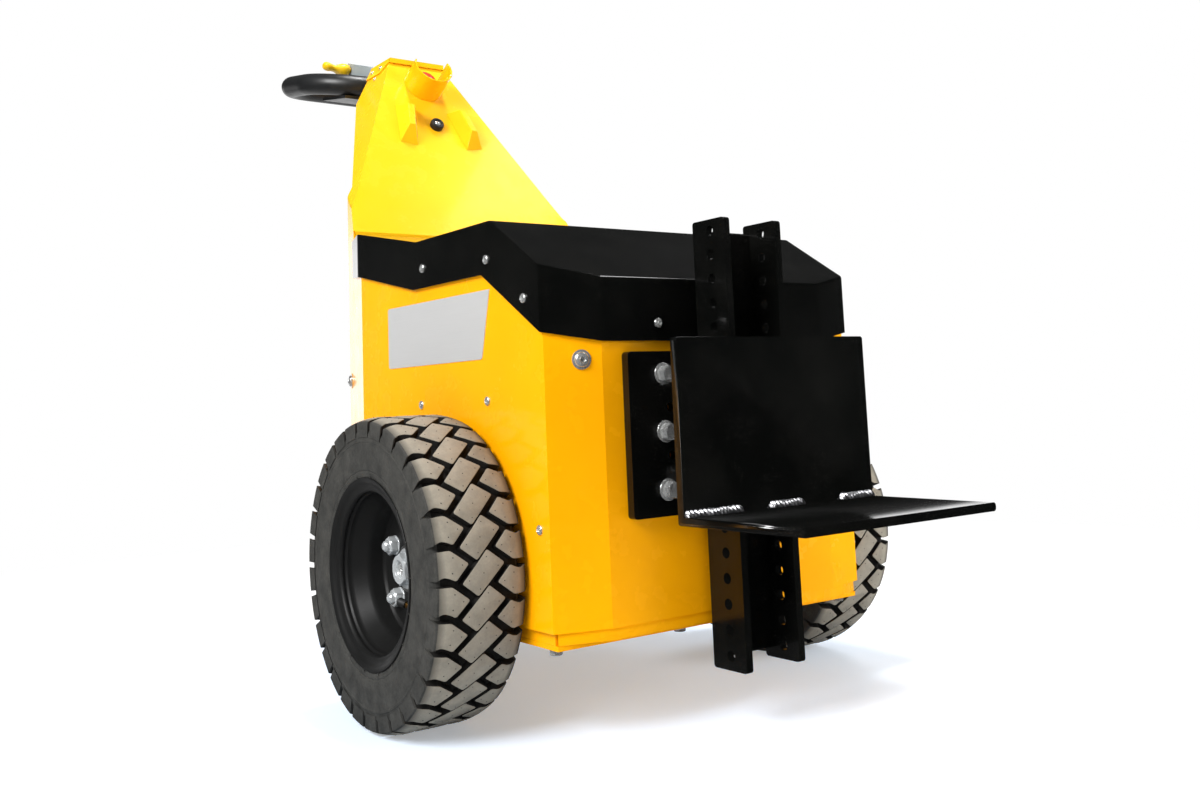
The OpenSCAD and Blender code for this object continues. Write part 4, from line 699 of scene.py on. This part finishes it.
def tread():
    whole = bmesh.new()
    for lug in range(LUGS):
        start = len(whole.verts)
        whole.from_mesh(pitch)
        whole.verts.ensure_lookup_table()
        for vert in whole.verts[start:]:
            u, v, h = vert.co / MM
            angle = v / tyre_r + lug * 2 * math.pi / LUGS
            reach = crown(u) + h
            vert.co = Vector((u, -reach * math.cos(angle), reach * math.sin(angle))) * MM
    bmesh.ops.recalc_face_normals(whole, faces=whole.faces)
    return whole


def bead_tick(side, tick):
    shape = bmesh.new()
    bmesh.ops.create_cube(shape, size=MM)
    bmesh.ops.scale(shape, vec=TICK_SIZE, verts=shape.verts)
    return place(shape, turned(360 / TICKS * tick + FIRST_TICK, "X")
                 @ Matrix.Translation((side * TICK_X * MM, 0, TICK_R * MM)) @ turned(-side * TICK_LEAN, "Y"))


def in_groove(face):
    middle = face.calc_center_median()
    return abs(middle.x) < GROOVES_WITHIN * MM and middle.yz.length > GROOVES_FROM_R * MM


for side_name in wheels:
    ticks = [bead_tick(side, tick) for side in (-1, 1) for tick in range(TICKS)]
    # painted shade: carcass faces between the blocks take the darker groove colour
    whole = gather([paint_faces(carcass(), GROOVE_PAINTED_SHADE, in_groove), tread(), gather(ticks)])
    tyre = place(whole, Matrix.Translation(joint_at[side_name + "_wheel_spin"]))
    print(side_name, "tyre faces:", len(tyre.faces))
    finish_piece(side_name + "_tyre_dressed", tyre, [tyre_rubber, tread_top, groove_rubber_painted_shade],
                 side_name + "_wheel", [side_name + "_tyre"], sharp=38)
bpy.data.meshes.remove(pitch)

# %% [markdown]
# ## Rim, hub and wheel nuts
# The rim is pressed steel: rolled lips, a bead seat on each side, a drop centre, and a disc
# welded in it. One closed outline makes all of it. The weld ring at the disc is a small fillet.

# %% Rims
OUTER_LIP = [
    (101.6, 36.0, 3.0), (101.6, 46.4, 2.0), (107.4, 48.6, 2.0), (113.0, 52.8, 1.5), (117.4, 54.8, 0.5),
    (118.6, 56.2, 0.7), (117.6, 57.6, 0.6), (112.6, 56.0, 2.0), (107.4, 52.0, 3.0), (101.0, 50.6, 2.0),
    (99.0, 46.6, 1.0), (100.2, 43.4, 1.0), (97.6, 40.6, 1.0), (97.4, 36.0, 3.0),
]
DISC = [(83.6, 16.0, 4.0), (83.6, -3.0, 1.0), (80.6, -6.2, 1.0), (79.0, -7.0, 0.5), (31.0, -7.0, 0.6),
        (30.1, -8.0), (30.1, -15.0), (80.0, -15.0), (83.6, -19.0)]
INNER_LIP = [
    (97.6, -36.0, 3.0), (97.6, -49.0, 3.0), (107.4, -52.0, 3.0), (112.6, -56.0, 2.0), (117.6, -57.6, 0.6),
    (118.6, -56.2, 0.7), (117.4, -54.8, 0.5), (113.0, -52.8, 1.5), (107.4, -48.6, 2.0),
    (101.6, -46.4, 2.0), (101.6, -36.0, 3.0), (87.6, -16.0, 3.0), (87.6, 16.0, 3.0),
]
for side_name, at_wheel in wheels.items():
    rim = place(lathe(OUTER_LIP + DISC + INNER_LIP, steps=128, closed=True), at_wheel @ LATHE_TO_AXLE)
    print(side_name, "rim faces:", len(rim.faces))
    finish_piece(side_name + "_rim_dressed", rim, [rim_black], side_name + "_wheel", [side_name + "_rim"],
                 sharp=40)
    rounded(side_name + "_hub", hub_steel)

# %% [markdown]
# The wheel nuts are chromed dome nuts: a thin flange, a chamfered hexagon and a cap. The axle
# nut is larger and open, and the threaded end of the half shaft shows bright inside it.


# %% Nuts and shafts
DISC_FACE, AXLE_NUT_SEAT, NEAR_AXLE = -7.0, 1.5, 5.0


def dome_nut():
    cap = [(8.0 * math.cos(math.radians(a)), 11.4 + 8.0 * math.sin(math.radians(a))) for a in range(5, 90, 10)]
    return lathe([(6.3, 0.0), (12.6, 0.0, 0.3), (12.6, 1.3, 0.3), (12.0, 1.5), (12.0, 10.2), (10.2, 11.3),
                  (8.6, 11.4)] + cap + [(0.0, 19.4)], six=(12.0,))


def centre_nut():
    return lathe([(10.2, 0.0), (25.4, 0.0, 0.5), (25.4, 2.0, 0.5), (20.4, 2.2), (20.24, 2.3), (20.24, 11.2),
                  (17.6, 12.6), (12.2, 12.6), (10.6, 11.4), (10.2, 10.0)], closed=True, six=(20.24,))


def shaft(inner, seat):
    thread = [spot for ring in range(9) for spot in ((9.9, 1.5 + ring), (9.2, 2.0 + ring))]
    return lathe([(0.0, inner), (15.0, inner, 1.0), (15.0, seat, 0.8), (10.0, seat)] + thread
                 + [(8.2, 10.4), (2.6, 10.4), (2.2, 9.6), (0.0, 8.2)])


def loose_parts(shape):
    shape.verts.index_update()
    shape.faces.index_update()
    seen, parts = set(), []
    for seed in shape.verts:
        part, todo = [], [seed]
        while todo:
            vert = todo.pop()
            if vert.index not in seen:
                seen.add(vert.index)
                part.append(vert)
                todo += [edge.other_vert(vert) for edge in vert.link_edges]
        if part:
            parts.append(part)
    return parts


def middles(node):
    shape = merged_copy(node)
    spots = [np.array([vert.co for vert in part]) for part in loose_parts(shape)]
    shape.free()
    return [Vector((points.min(0) + points.max(0)) / 2) for points in spots]


for side_name, at_wheel in wheels.items():
    nuts = []
    for middle in middles(side_name + "_wheel_nuts"):
        local = at_wheel.inverted() @ middle
        if local.yz.length < NEAR_AXLE * MM:
            shape, where = centre_nut(), Matrix.Translation((AXLE_NUT_SEAT * MM, 0, 0))
        else:
            shape, where = dome_nut(), Matrix.Translation((DISC_FACE * MM, local.y, local.z))
        nuts.append(place(shape, at_wheel @ where @ LATHE_TO_AXLE))
    print(side_name, "nuts:", len(nuts))
    finish_piece(side_name + "_wheel_nuts_dressed", gather(nuts), [chrome], side_name + "_wheel",
                 [side_name + "_wheel_nuts"], sharp=32)
    low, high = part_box(side_name + "_half_shaft")
    inner = min(abs(low.x), abs(high.x)) / MM - abs(joint_at[side_name + "_wheel_spin"].x) / MM
    axle = place(shaft(inner, 1.0), at_wheel @ LATHE_TO_AXLE)
    finish_piece(side_name + "_half_shaft_dressed", axle, [zinc], side_name + "_wheel",
                 [side_name + "_half_shaft"], sharp=40)

# %% [markdown]
# The valve leans out of the drop centre: a brass stem with a thread below, a knurled black cap
# and the rubber foot that seals the hole.

# %% Valves
VALVE_TURN, VALVE_LEAN = 205.0, 55.0
VALVE_SEAT_R, VALVE_SEAT_X = 90.6, 27.0
KNURL_FROM, KNURL_TO, KNURL_SHARE = 20, 28, 0.93


def valve_stem():
    thread = [spot for ring in range(6) for spot in ((3.9, 13.0 + ring), (3.5, 13.5 + ring))]
    return lathe([(0.0, -10.2), (5.5, -10.2, 0.5), (5.5, -7.7, 0.5), (4.0, -7.0), (4.0, 2.0), (3.9, 12.5)]
                 + thread + [(3.4, 19.0), (3.4, 22.0), (0.0, 22.0)], steps=32)


def valve_cap():
    cap = lathe([(0.0, 19.4), (5.1, 19.4, 0.4), (5.1, 28.4, 0.8), (3.4, 30.4, 0.5), (0.0, 30.4)], steps=36)
    for vert in cap.verts:
        ridge = round(math.degrees(math.atan2(vert.co.y, vert.co.x)) / 10) % 3 == 0
        if KNURL_FROM * MM < vert.co.z < KNURL_TO * MM and ridge:
            vert.co.xy *= KNURL_SHARE
    return cap


for side_name, at_wheel in wheels.items():
    lean = (turned(VALVE_TURN, "X") @ Matrix.Translation((VALVE_SEAT_X * MM, VALVE_SEAT_R * MM, 0))
            @ turned(-VALVE_LEAN, "Z"))
    valve = place(gather([valve_stem(), paint_faces(valve_cap(), 1)]), at_wheel @ lean @ LATHE_TO_AXLE)
    print(side_name, "valve faces:", len(valve.faces))
    finish_piece(side_name + "_valve_dressed", valve, [brass, black_plastic], side_name + "_wheel",
                 [side_name + "_valve"], sharp=35)

# %% [markdown]
# ## Fasteners
# The frame already holds every screw as a plain solid. Each solid is measured here: the
# direction with most flat face is its axis, the wide end is its head, and the step from head
# to shank is its seat. A detailed screw is then set in exactly that place.


# %% Measure the fasteners
HEAD_SHARE, SHANK_END, HEAD_STEP = 0.9, 0.2, 1.3


def axis_of(faces):
    totals = {}
    for face in faces:
        normal = face.normal.copy()
        if tuple(round(c, 2) for c in normal) < (0, 0, 0):
            normal.negate()
        key = tuple(round(c, 2) for c in normal)
        area, total = totals.get(key, (0.0, Vector()))
        totals[key] = (area + face.calc_area(), total + normal * face.calc_area())
    return max(totals.values(), key=lambda pair: pair[0])[1].normalized()


def fastener_frames(node):
    shape = merged_copy(node)
    frames = []
    for part in loose_parts(shape):
        axis = axis_of(sorted({face for vert in part for face in vert.link_faces}, key=lambda f: f.index))
        points = [vert.co for vert in part]
        across = axis.orthogonal().normalized()
        over = axis.cross(across)
        spans = [[p.dot(d) for p in points] for d in (across, over, axis)]
        mid = [(min(span) + max(span)) / 2 for span in spans]
        reach = [math.hypot(a - mid[0], b - mid[1]) for a, b in zip(spans[0], spans[1])]
        along = spans[2]
        wide = max(reach)
        wide_at = [t for t, r in zip(along, reach) if r > HEAD_SHARE * wide]
        if sum(wide_at) / len(wide_at) < mid[2]:
            axis, over = -axis, -over
            along = [-t for t in along]
            mid[1] = -mid[1]
        shank = max(r for t, r in zip(along, reach) if t < min(along) + SHANK_END * MM)
        seat = min(t for t, r in zip(along, reach) if r > HEAD_STEP * shank)
        turn = Matrix((across, over, axis)).transposed().to_4x4()
        frames.append((Matrix.Translation(across * mid[0] + over * mid[1] + axis * seat) @ turn, wide / MM,
                       (max(along) - seat) / MM, (seat - min(along)) / MM, shank / MM))
    shape.free()
    return frames


frames_of = {node: fastener_frames(node) for node in (
    "cowl_screws", "side_screws", "rear_panel_screws", "cap_screws", "buffer_screw", "shell_bolts",
    "mount_plate_bolts", "base_bolts")}
for node, found in frames_of.items():
    print(node, len(found), [round(n, 1) for n in found[0][1:]])

# %% [markdown]
# Each maker takes the same four sizes: widest radius, height of the head, length and radius of
# the shank. Button heads have a socket for a hexagon key, the big corner bolts also a washer,
# the mount plate's bolts a flange, and the bolts below the base are plain hexagons.


# %% Screw shapes
def button_head(head_r, head_h, shank_l, shank_r, washer=None):
    lift = washer[1] if washer else 0.0
    top = lift + head_h
    dome = [(head_r * math.cos(math.radians(a)), lift + head_h * (0.25 + 0.75 * math.sin(math.radians(a))))
            for a in (0, 14, 28, 42, 54, 64)]
    points = [(0.0, -shank_l), (shank_r, -shank_l, 0.3), (shank_r, 0.0)]
    if washer:
        points += [(washer[0], 0.0, 0.3), (washer[0], lift, 0.3)]
    points += [(head_r * 0.98, lift)] + dome
    socket = head_r * 0.40
    points += [(socket * 1.04, top), (socket, top - 0.3), (socket, top - head_h * 0.55),
               (0.0, top - head_h * 0.7)]
    return lathe(points, steps=36, six=(socket,), segments=2)


def hex_head(flange_r, corner_r, flange_h, head_h, shank_l, shank_r):
    return lathe([(0.0, -shank_l), (shank_r, -shank_l, 0.5), (shank_r, 0.0), (flange_r, 0.0, 0.3),
                  (flange_r, flange_h * 0.5, 0.3), (corner_r * 1.03, flange_h), (corner_r, flange_h + 0.1),
                  (corner_r, head_h - corner_r * 0.06), (corner_r * 0.86, head_h), (corner_r * 0.6, head_h),
                  (corner_r * 0.55, head_h - 0.4), (0.0, head_h - 0.4)], steps=48, six=(corner_r,))


def washered(wide, high, long, shank, washer_t=1.5):
    return button_head(wide * 0.75, high - washer_t, long, shank, (wide, washer_t))


def flanged(wide, high, long, shank):
    return hex_head(wide * 0.8, wide * 0.64, shank * 0.3, high * 0.9, long, shank)


def hexagon(wide, high, long, shank):
    return hex_head(wide, wide * 0.92, shank * 0.2, high, long, shank)


makers = {"shell_bolts": washered, "mount_plate_bolts": flanged, "base_bolts": hexagon}
for node, frames in frames_of.items():
    maker = makers.get(node, button_head)
    parts = [place(maker(*sizes), matrix) for matrix, *sizes in frames]
    finish_piece(node + "_dressed", gather(parts), [zinc], "root", [node], sharp=32)
rounded("castor_bolts", zinc, edge=0.5)
print("fastener groups:", len(frames_of) + 1)

# %% [markdown]
# ## The welds of the push bracket
# Three stitches join the upright plate to the shelf. A stitch is a grid rolled into the corner:
# its radius swells and dips in slanted ripples, as a hand laid bead does.

# %% Stitch welds
STITCHES = ((-154.0, -68.0), (-25.0, 31.0), (94.0, 154.0))
UPRIGHT_FACE, SHELF_T = -356.0, 10.0
ROW, BEAD_SIZE, BEAD_END, SUNK = 0.6, 10.0, 3.0, 0.5
RIPPLE, RIPPLE_SLANT = 6.2, 5.0
BEAD_FROM, BEAD_SWEEP = -12, 114
bracket_low, bracket_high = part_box("push_bracket")
corner_y = UPRIGHT_FACE * MM + joint_at["left_wheel_spin"].y
corner_z = bracket_low.z + SHELF_T * MM


def stitch(start, end):
    rows = int((end - start) / ROW)
    shape = bmesh.new()
    bmesh.ops.create_grid(shape, x_segments=rows, y_segments=10, size=0.5)
    for vert in shape.verts:
        along = vert.co.x + 0.5
        round_share = vert.co.y + 0.5
        angle = math.radians(BEAD_FROM + BEAD_SWEEP * round_share)
        x = start + (end - start) * along
        wave = (x + RIPPLE_SLANT * round_share) / RIPPLE
        swell = math.sqrt(1.0 - abs(2 * (wave % 1.0) - 1.0) ** 2)
        drift = 0.35 * math.sin(x * 0.9) + 0.25 * math.sin(x * 2.3 + 1.0)
        ends = max(0.0, min(1.0, (x - start) / BEAD_END, (end - x) / BEAD_END))
        reach = (BEAD_SIZE * (0.42 + 0.42 * swell) + drift) * (0.35 + 0.65 * math.sqrt(ends))
        vert.co = Vector((x * MM, corner_y - (reach * math.cos(angle) - SUNK) * MM,
                          corner_z + (reach * math.sin(angle) - SUNK) * MM))
    bmesh.ops.holes_fill(shape, edges=shape.edges[:], sides=0)
    bmesh.ops.recalc_face_normals(shape, faces=shape.faces)
    return shape


welds = gather([stitch(start, end) for start, end in STITCHES])
finish_piece("bracket_welds", welds, [weld_metal], "root", sharp=60)
print("stitch welds:", len(STITCHES))

# %% [markdown]
# The buffer is a turned rubber stud with a soft edge and a recess for its screw.

# %% Rubber buffer
FACE_UP = Vector((0.0, 0.486, 0.874)).normalized()
FACE_OUT = Vector((0.0, -0.874, 0.486)).normalized()
BUFFER_H = 11.0
buffer_low, buffer_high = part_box("rubber_buffer")
buffer_middle = (buffer_low + buffer_high) / 2
turn_to_face = Matrix(((1, 0, 0), FACE_UP, FACE_OUT)).transposed().to_4x4()
buffer_at = Matrix.Translation(buffer_middle - FACE_OUT * BUFFER_H / 2 * MM) @ turn_to_face
buffer_shape = lathe([(3.1, 0.0), (12.4, 0.0, 0.4), (12.9, 5.0, 2.0), (12.2, BUFFER_H, 2.4),
                      (7.6, BUFFER_H, 0.8), (6.6, 7.7), (3.1, 7.7)], closed=True)
print("buffer faces:", len(buffer_shape.faces))
finish_piece("rubber_buffer_dressed", place(buffer_shape, buffer_at), [buffer_rubber], "root",
             ["rubber_buffer"], sharp=40)

# %% [markdown]
# Along its lower front edge the body sheet turns in and meets the base plate. A sill closes that
# edge and both chamfered corners: a bent strip, extruded from its outline and edge bevelled.

# %% Front sill
shell_low, shell_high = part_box("body_shell")
plate_low, plate_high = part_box("base_plate")
SILL_T, SILL_SET_BACK, SILL_LAP = 3.0, 2.0, 3.0
CHAMFER_X, HALF_WIDTH = 183.0, 250.0


def strip(outline, thick, low, high):
    shape = bmesh.new()
    ring = outline + [(x * (1 - thick / HALF_WIDTH), y + thick) for x, y in reversed(outline)]
    face = shape.faces.new([shape.verts.new((x * MM, y * MM, low)) for x, y in ring])
    raised = bmesh.ops.extrude_face_region(shape, geom=[face])["geom"]
    top = [v for v in raised if isinstance(v, bmesh.types.BMVert)]
    bmesh.ops.translate(shape, vec=(0, 0, high - low), verts=top)
    bmesh.ops.recalc_face_normals(shape, faces=shape.faces)
    return shape


front_y = shell_low.y / MM + SILL_SET_BACK
corner_x, corner_back = plate_high.x / MM - 1.0, plate_low.y / MM + 1.0
sill = strip([(-corner_x, corner_back), (-CHAMFER_X, front_y), (CHAMFER_X, front_y), (corner_x, corner_back)],
             SILL_T, plate_high.z, shell_low.z + SILL_LAP * MM)
round_off(sill, edges_between(sill, *CUT_ANGLES), 0.5)
finish_piece("front_sill", sill, [body_yellow], "root")
print("sill height in mm:", round((shell_low.z - plate_high.z) / MM, 1))

# %% [markdown]
# The thumb lever's two wings are soft paddles: a lathed shape with a waist, flattened and bent
# up towards its tip. A round bar joins them through the console.

# %% Thumb lever
lever_low, lever_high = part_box("thumb_lever")
lever_middle = (lever_low + lever_high) / 2
lever_half = (lever_high.x - lever_low.x) / 2 / MM
PADDLE = [(0.0, 0.0), (3.4, 0.5), (6.4, 2.4), (8.0, 6.0), (8.2, 11.0), (6.6, 18.0), (6.6, 24.0), (9.4, 31.0),
          (12.0, 38.0), (12.4, 45.0), (11.0, 50.4), (7.0, 53.4), (0.0, 54.0)]
PADDLE_WIDE, PADDLE_RISE, PADDLE_DROP, BEND_ENDS = 1.5, 5.0, 2.0, 45.0
BAR_R, BAR_REACH = 4.9, 1.4


def wing(side):
    shape = lathe(PADDLE, steps=40)
    for vert in shape.verts:
        inward = vert.co.z / MM
        bend = PADDLE_RISE * max(0.0, 1.0 - inward / BEND_ENDS) ** 2 - PADDLE_DROP
        vert.co = Vector((side * (lever_half * MM - vert.co.z), vert.co.x * PADDLE_WIDE,
                          vert.co.y + bend * MM)) + lever_middle
    bmesh.ops.recalc_face_normals(shape, faces=shape.faces)
    return shape


lever_axis = joint_at["thumb_lever_turn"]
bar = bmesh.new()
bar_at = Matrix.Translation((lever_middle.x, lever_axis.y, lever_axis.z)) @ turned(90, "Y")
bmesh.ops.create_cone(bar, cap_ends=True, segments=24, radius1=BAR_R * MM, radius2=BAR_R * MM,
                      depth=BAR_REACH * lever_half * MM, matrix=bar_at)
finish_piece("thumb_lever_dressed", gather([wing(-1), wing(1), bar]), [lever_yellow],
             nodes["thumb_lever"]["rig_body"], ["thumb_lever"], sharp=60)
print("lever reach in mm:", round(lever_half, 1))

# %% [markdown]
# ## The stage
# A pale floor runs to the horizon. For rays straight from the camera it glows a little, more
# with distance, so that it ends in plain white and still takes the shadow of the tug. Near the
# tug its own colour is cool, because yellow light from the body falls on it. Glossy rays see it
# bright behind the machine and dark in front of it.

# %% Floor
FLOOR_NEAR, FLOOR_OUT = (0.62, 0.755, 0.94), (0.80, 0.80, 0.80)
floor_shape = bmesh.new()
bmesh.ops.create_grid(floor_shape, x_segments=1, y_segments=1, size=30.0)
floor_mesh = bpy.data.meshes.new("floor")
floor_shape.to_mesh(floor_mesh)
floor_shape.free()
floor = bpy.data.objects.new("floor", floor_mesh)
bpy.context.scene.collection.objects.link(floor)


def glow(paint, strength):
    node = paint.add("ShaderNodeEmission")
    paint.plug((1.0, 1.0, 1.0, 1.0), node.inputs["Color"])
    paint.plug(strength, node.inputs["Strength"])
    return node.outputs[0]


def blend(paint, share, first, second):
    node = paint.add("ShaderNodeMixShader")
    for value, socket in zip((share, first, second), node.inputs):
        paint.plug(value, socket)
    return node.outputs[0]


def floor_material():
    paint = Finish("floor", FLOOR_OUT, 0.6, specular_ior_level=0.2)
    reach = paint.add("ShaderNodeVectorMath", operation="LENGTH")
    paint.plug(paint.here, reach.inputs[0])
    reach = reach.outputs["Value"]
    paint.set("Base Color", paint.mix(paint.ramp(reach, 0.35, 0.75, 1.0, 0.0), FLOOR_OUT, FLOOR_NEAR))
    lit = paint.add("ShaderNodeAddShader")
    paint.plug(paint.shader.outputs[0], lit.inputs[0])
    paint.plug(glow(paint, 0.32), lit.inputs[1])
    seen = blend(paint, paint.ramp(reach, 0.55, 2.0), lit.outputs[0], glow(paint, 1.0))
    behind = paint.ramp(paint.part("Y"), -0.5, 1.4, 0.015, 0.9)
    right = paint.ramp(paint.part("X"), -1.3, -0.2, 0.03, 1.0)
    path = paint.add("ShaderNodeLightPath").outputs
    shiny = paint.math("MAXIMUM", path["Is Glossy Ray"], path["Is Transmission Ray"])
    mirror = glow(paint, paint.math("MULTIPLY", behind, right))
    other = blend(paint, shiny, paint.shader.outputs[0], mirror)
    final = blend(paint, path["Is Camera Ray"], other, seen)
    paint.plug(final, paint.tree.nodes["Material Output"].inputs["Surface"])
    return paint.material


floor_mesh.materials.append(floor_material())
print("floor is", round(floor.dimensions.x), "m across")

# %% [markdown]
# The studio round it is plain white for the camera and an even dim light for everything else.
# Only glossy rays see a picture in it: a white wall behind the machine, low down and to the
# right, and darkness elsewhere, which is what gives black paint its depth.

# %% World
AMBIENT = 0.34
world = bpy.data.worlds.new("studio")
bpy.context.scene.world = world
world.use_nodes = True
sky = world.node_tree
background = sky.nodes["Background"]
where = sky.nodes.new("ShaderNodeTexCoord")
split = sky.nodes.new("ShaderNodeSeparateXYZ")
sky.links.new(where.outputs["Generated"], split.inputs["Vector"])
path = sky.nodes.new("ShaderNodeLightPath").outputs


def sky_node(kind, result, sockets, values):
    node = sky.nodes.new(kind)
    for key, value in zip(sockets, values):
        if isinstance(value, float):
            node.inputs[key].default_value = value
        else:
            sky.links.new(value, node.inputs[key])
    return node.outputs[result]


def sky_ramp(axis, low, high, start, end):
    return sky_node("ShaderNodeMapRange", "Result", ("Value", "From Min", "From Max", "To Min", "To Max"),
                    (split.outputs[axis], low, high, start, end))


def sky_mix(factor, low, high):
    return sky_node("ShaderNodeMix", "Result", ("Factor", "A", "B"), (factor, low, high))


wall = sky_mix(sky_ramp("Z", 0.13, 0.21, 1.0, 0.03), 0.0, sky_ramp("Y", 0.0, 0.45, 0.02, 1.6))
wall = sky_mix(sky_ramp("X", -0.36, -0.10, 0.02, 1.0), 0.0, wall)
level = sky_mix(path["Is Glossy Ray"], AMBIENT, wall)
level = sky_mix(path["Is Transmission Ray"], level, 1.0)
level = sky_mix(path["Is Camera Ray"], level, 1.0)
background.inputs["Color"].default_value = (1.0, 1.0, 1.0, 1.0)
sky.links.new(level, background.inputs["Strength"])
print("ambient level:", AMBIENT)

# %% [markdown]
# Six soft lamps finish the studio. The key stands high on the left and a small lamp overhead
# draws the shadow on the floor. The fills are hidden from mirrors, so that black plates stay
# black, and the edge lamp is seen by nothing but mirrors: it draws a bright line on the folds.


# %% Lamps
def soft_lamp(name, at, aim, watts, width, height, mirrored=True, lights=True):
    data = bpy.data.lights.new(name, "AREA")
    data.shape = "RECTANGLE"
    data.size, data.size_y = width, height
    data.energy = watts
    lamp = bpy.data.objects.new(name, data)
    bpy.context.scene.collection.objects.link(lamp)
    lamp.visible_glossy = mirrored
    lamp.visible_diffuse = lights
    facing = (Vector(aim) - Vector(at)).to_track_quat("-Z", "Y").to_matrix().to_4x4()
    lamp.matrix_world = Matrix.Translation(at) @ facing
    print(name, "lamp of", watts, "W")


AIM = (0.0, -0.1, 0.45)
soft_lamp("key", (-2.9, -1.0, 2.3), AIM, 155, 1.6, 1.6)
soft_lamp("top", (0.1, 0.1, 3.2), (0.1, -0.3, 0.0), 62, 0.4, 0.4)
soft_lamp("edge", (1.5, -0.5, 2.9), AIM, 18, 1.6, 0.4, lights=False)
soft_lamp("fill", (1.9, -2.4, 0.9), AIM, 24, 1.2, 1.6, mirrored=False)
soft_lamp("low_right", (1.0, -1.25, 0.4), (0.2, -0.4, 0.25), 9, 0.5, 0.5, mirrored=False)
soft_lamp("rim_right", (2.6, 1.6, 1.8), AIM, 50, 1.2, 1.8, mirrored=False)
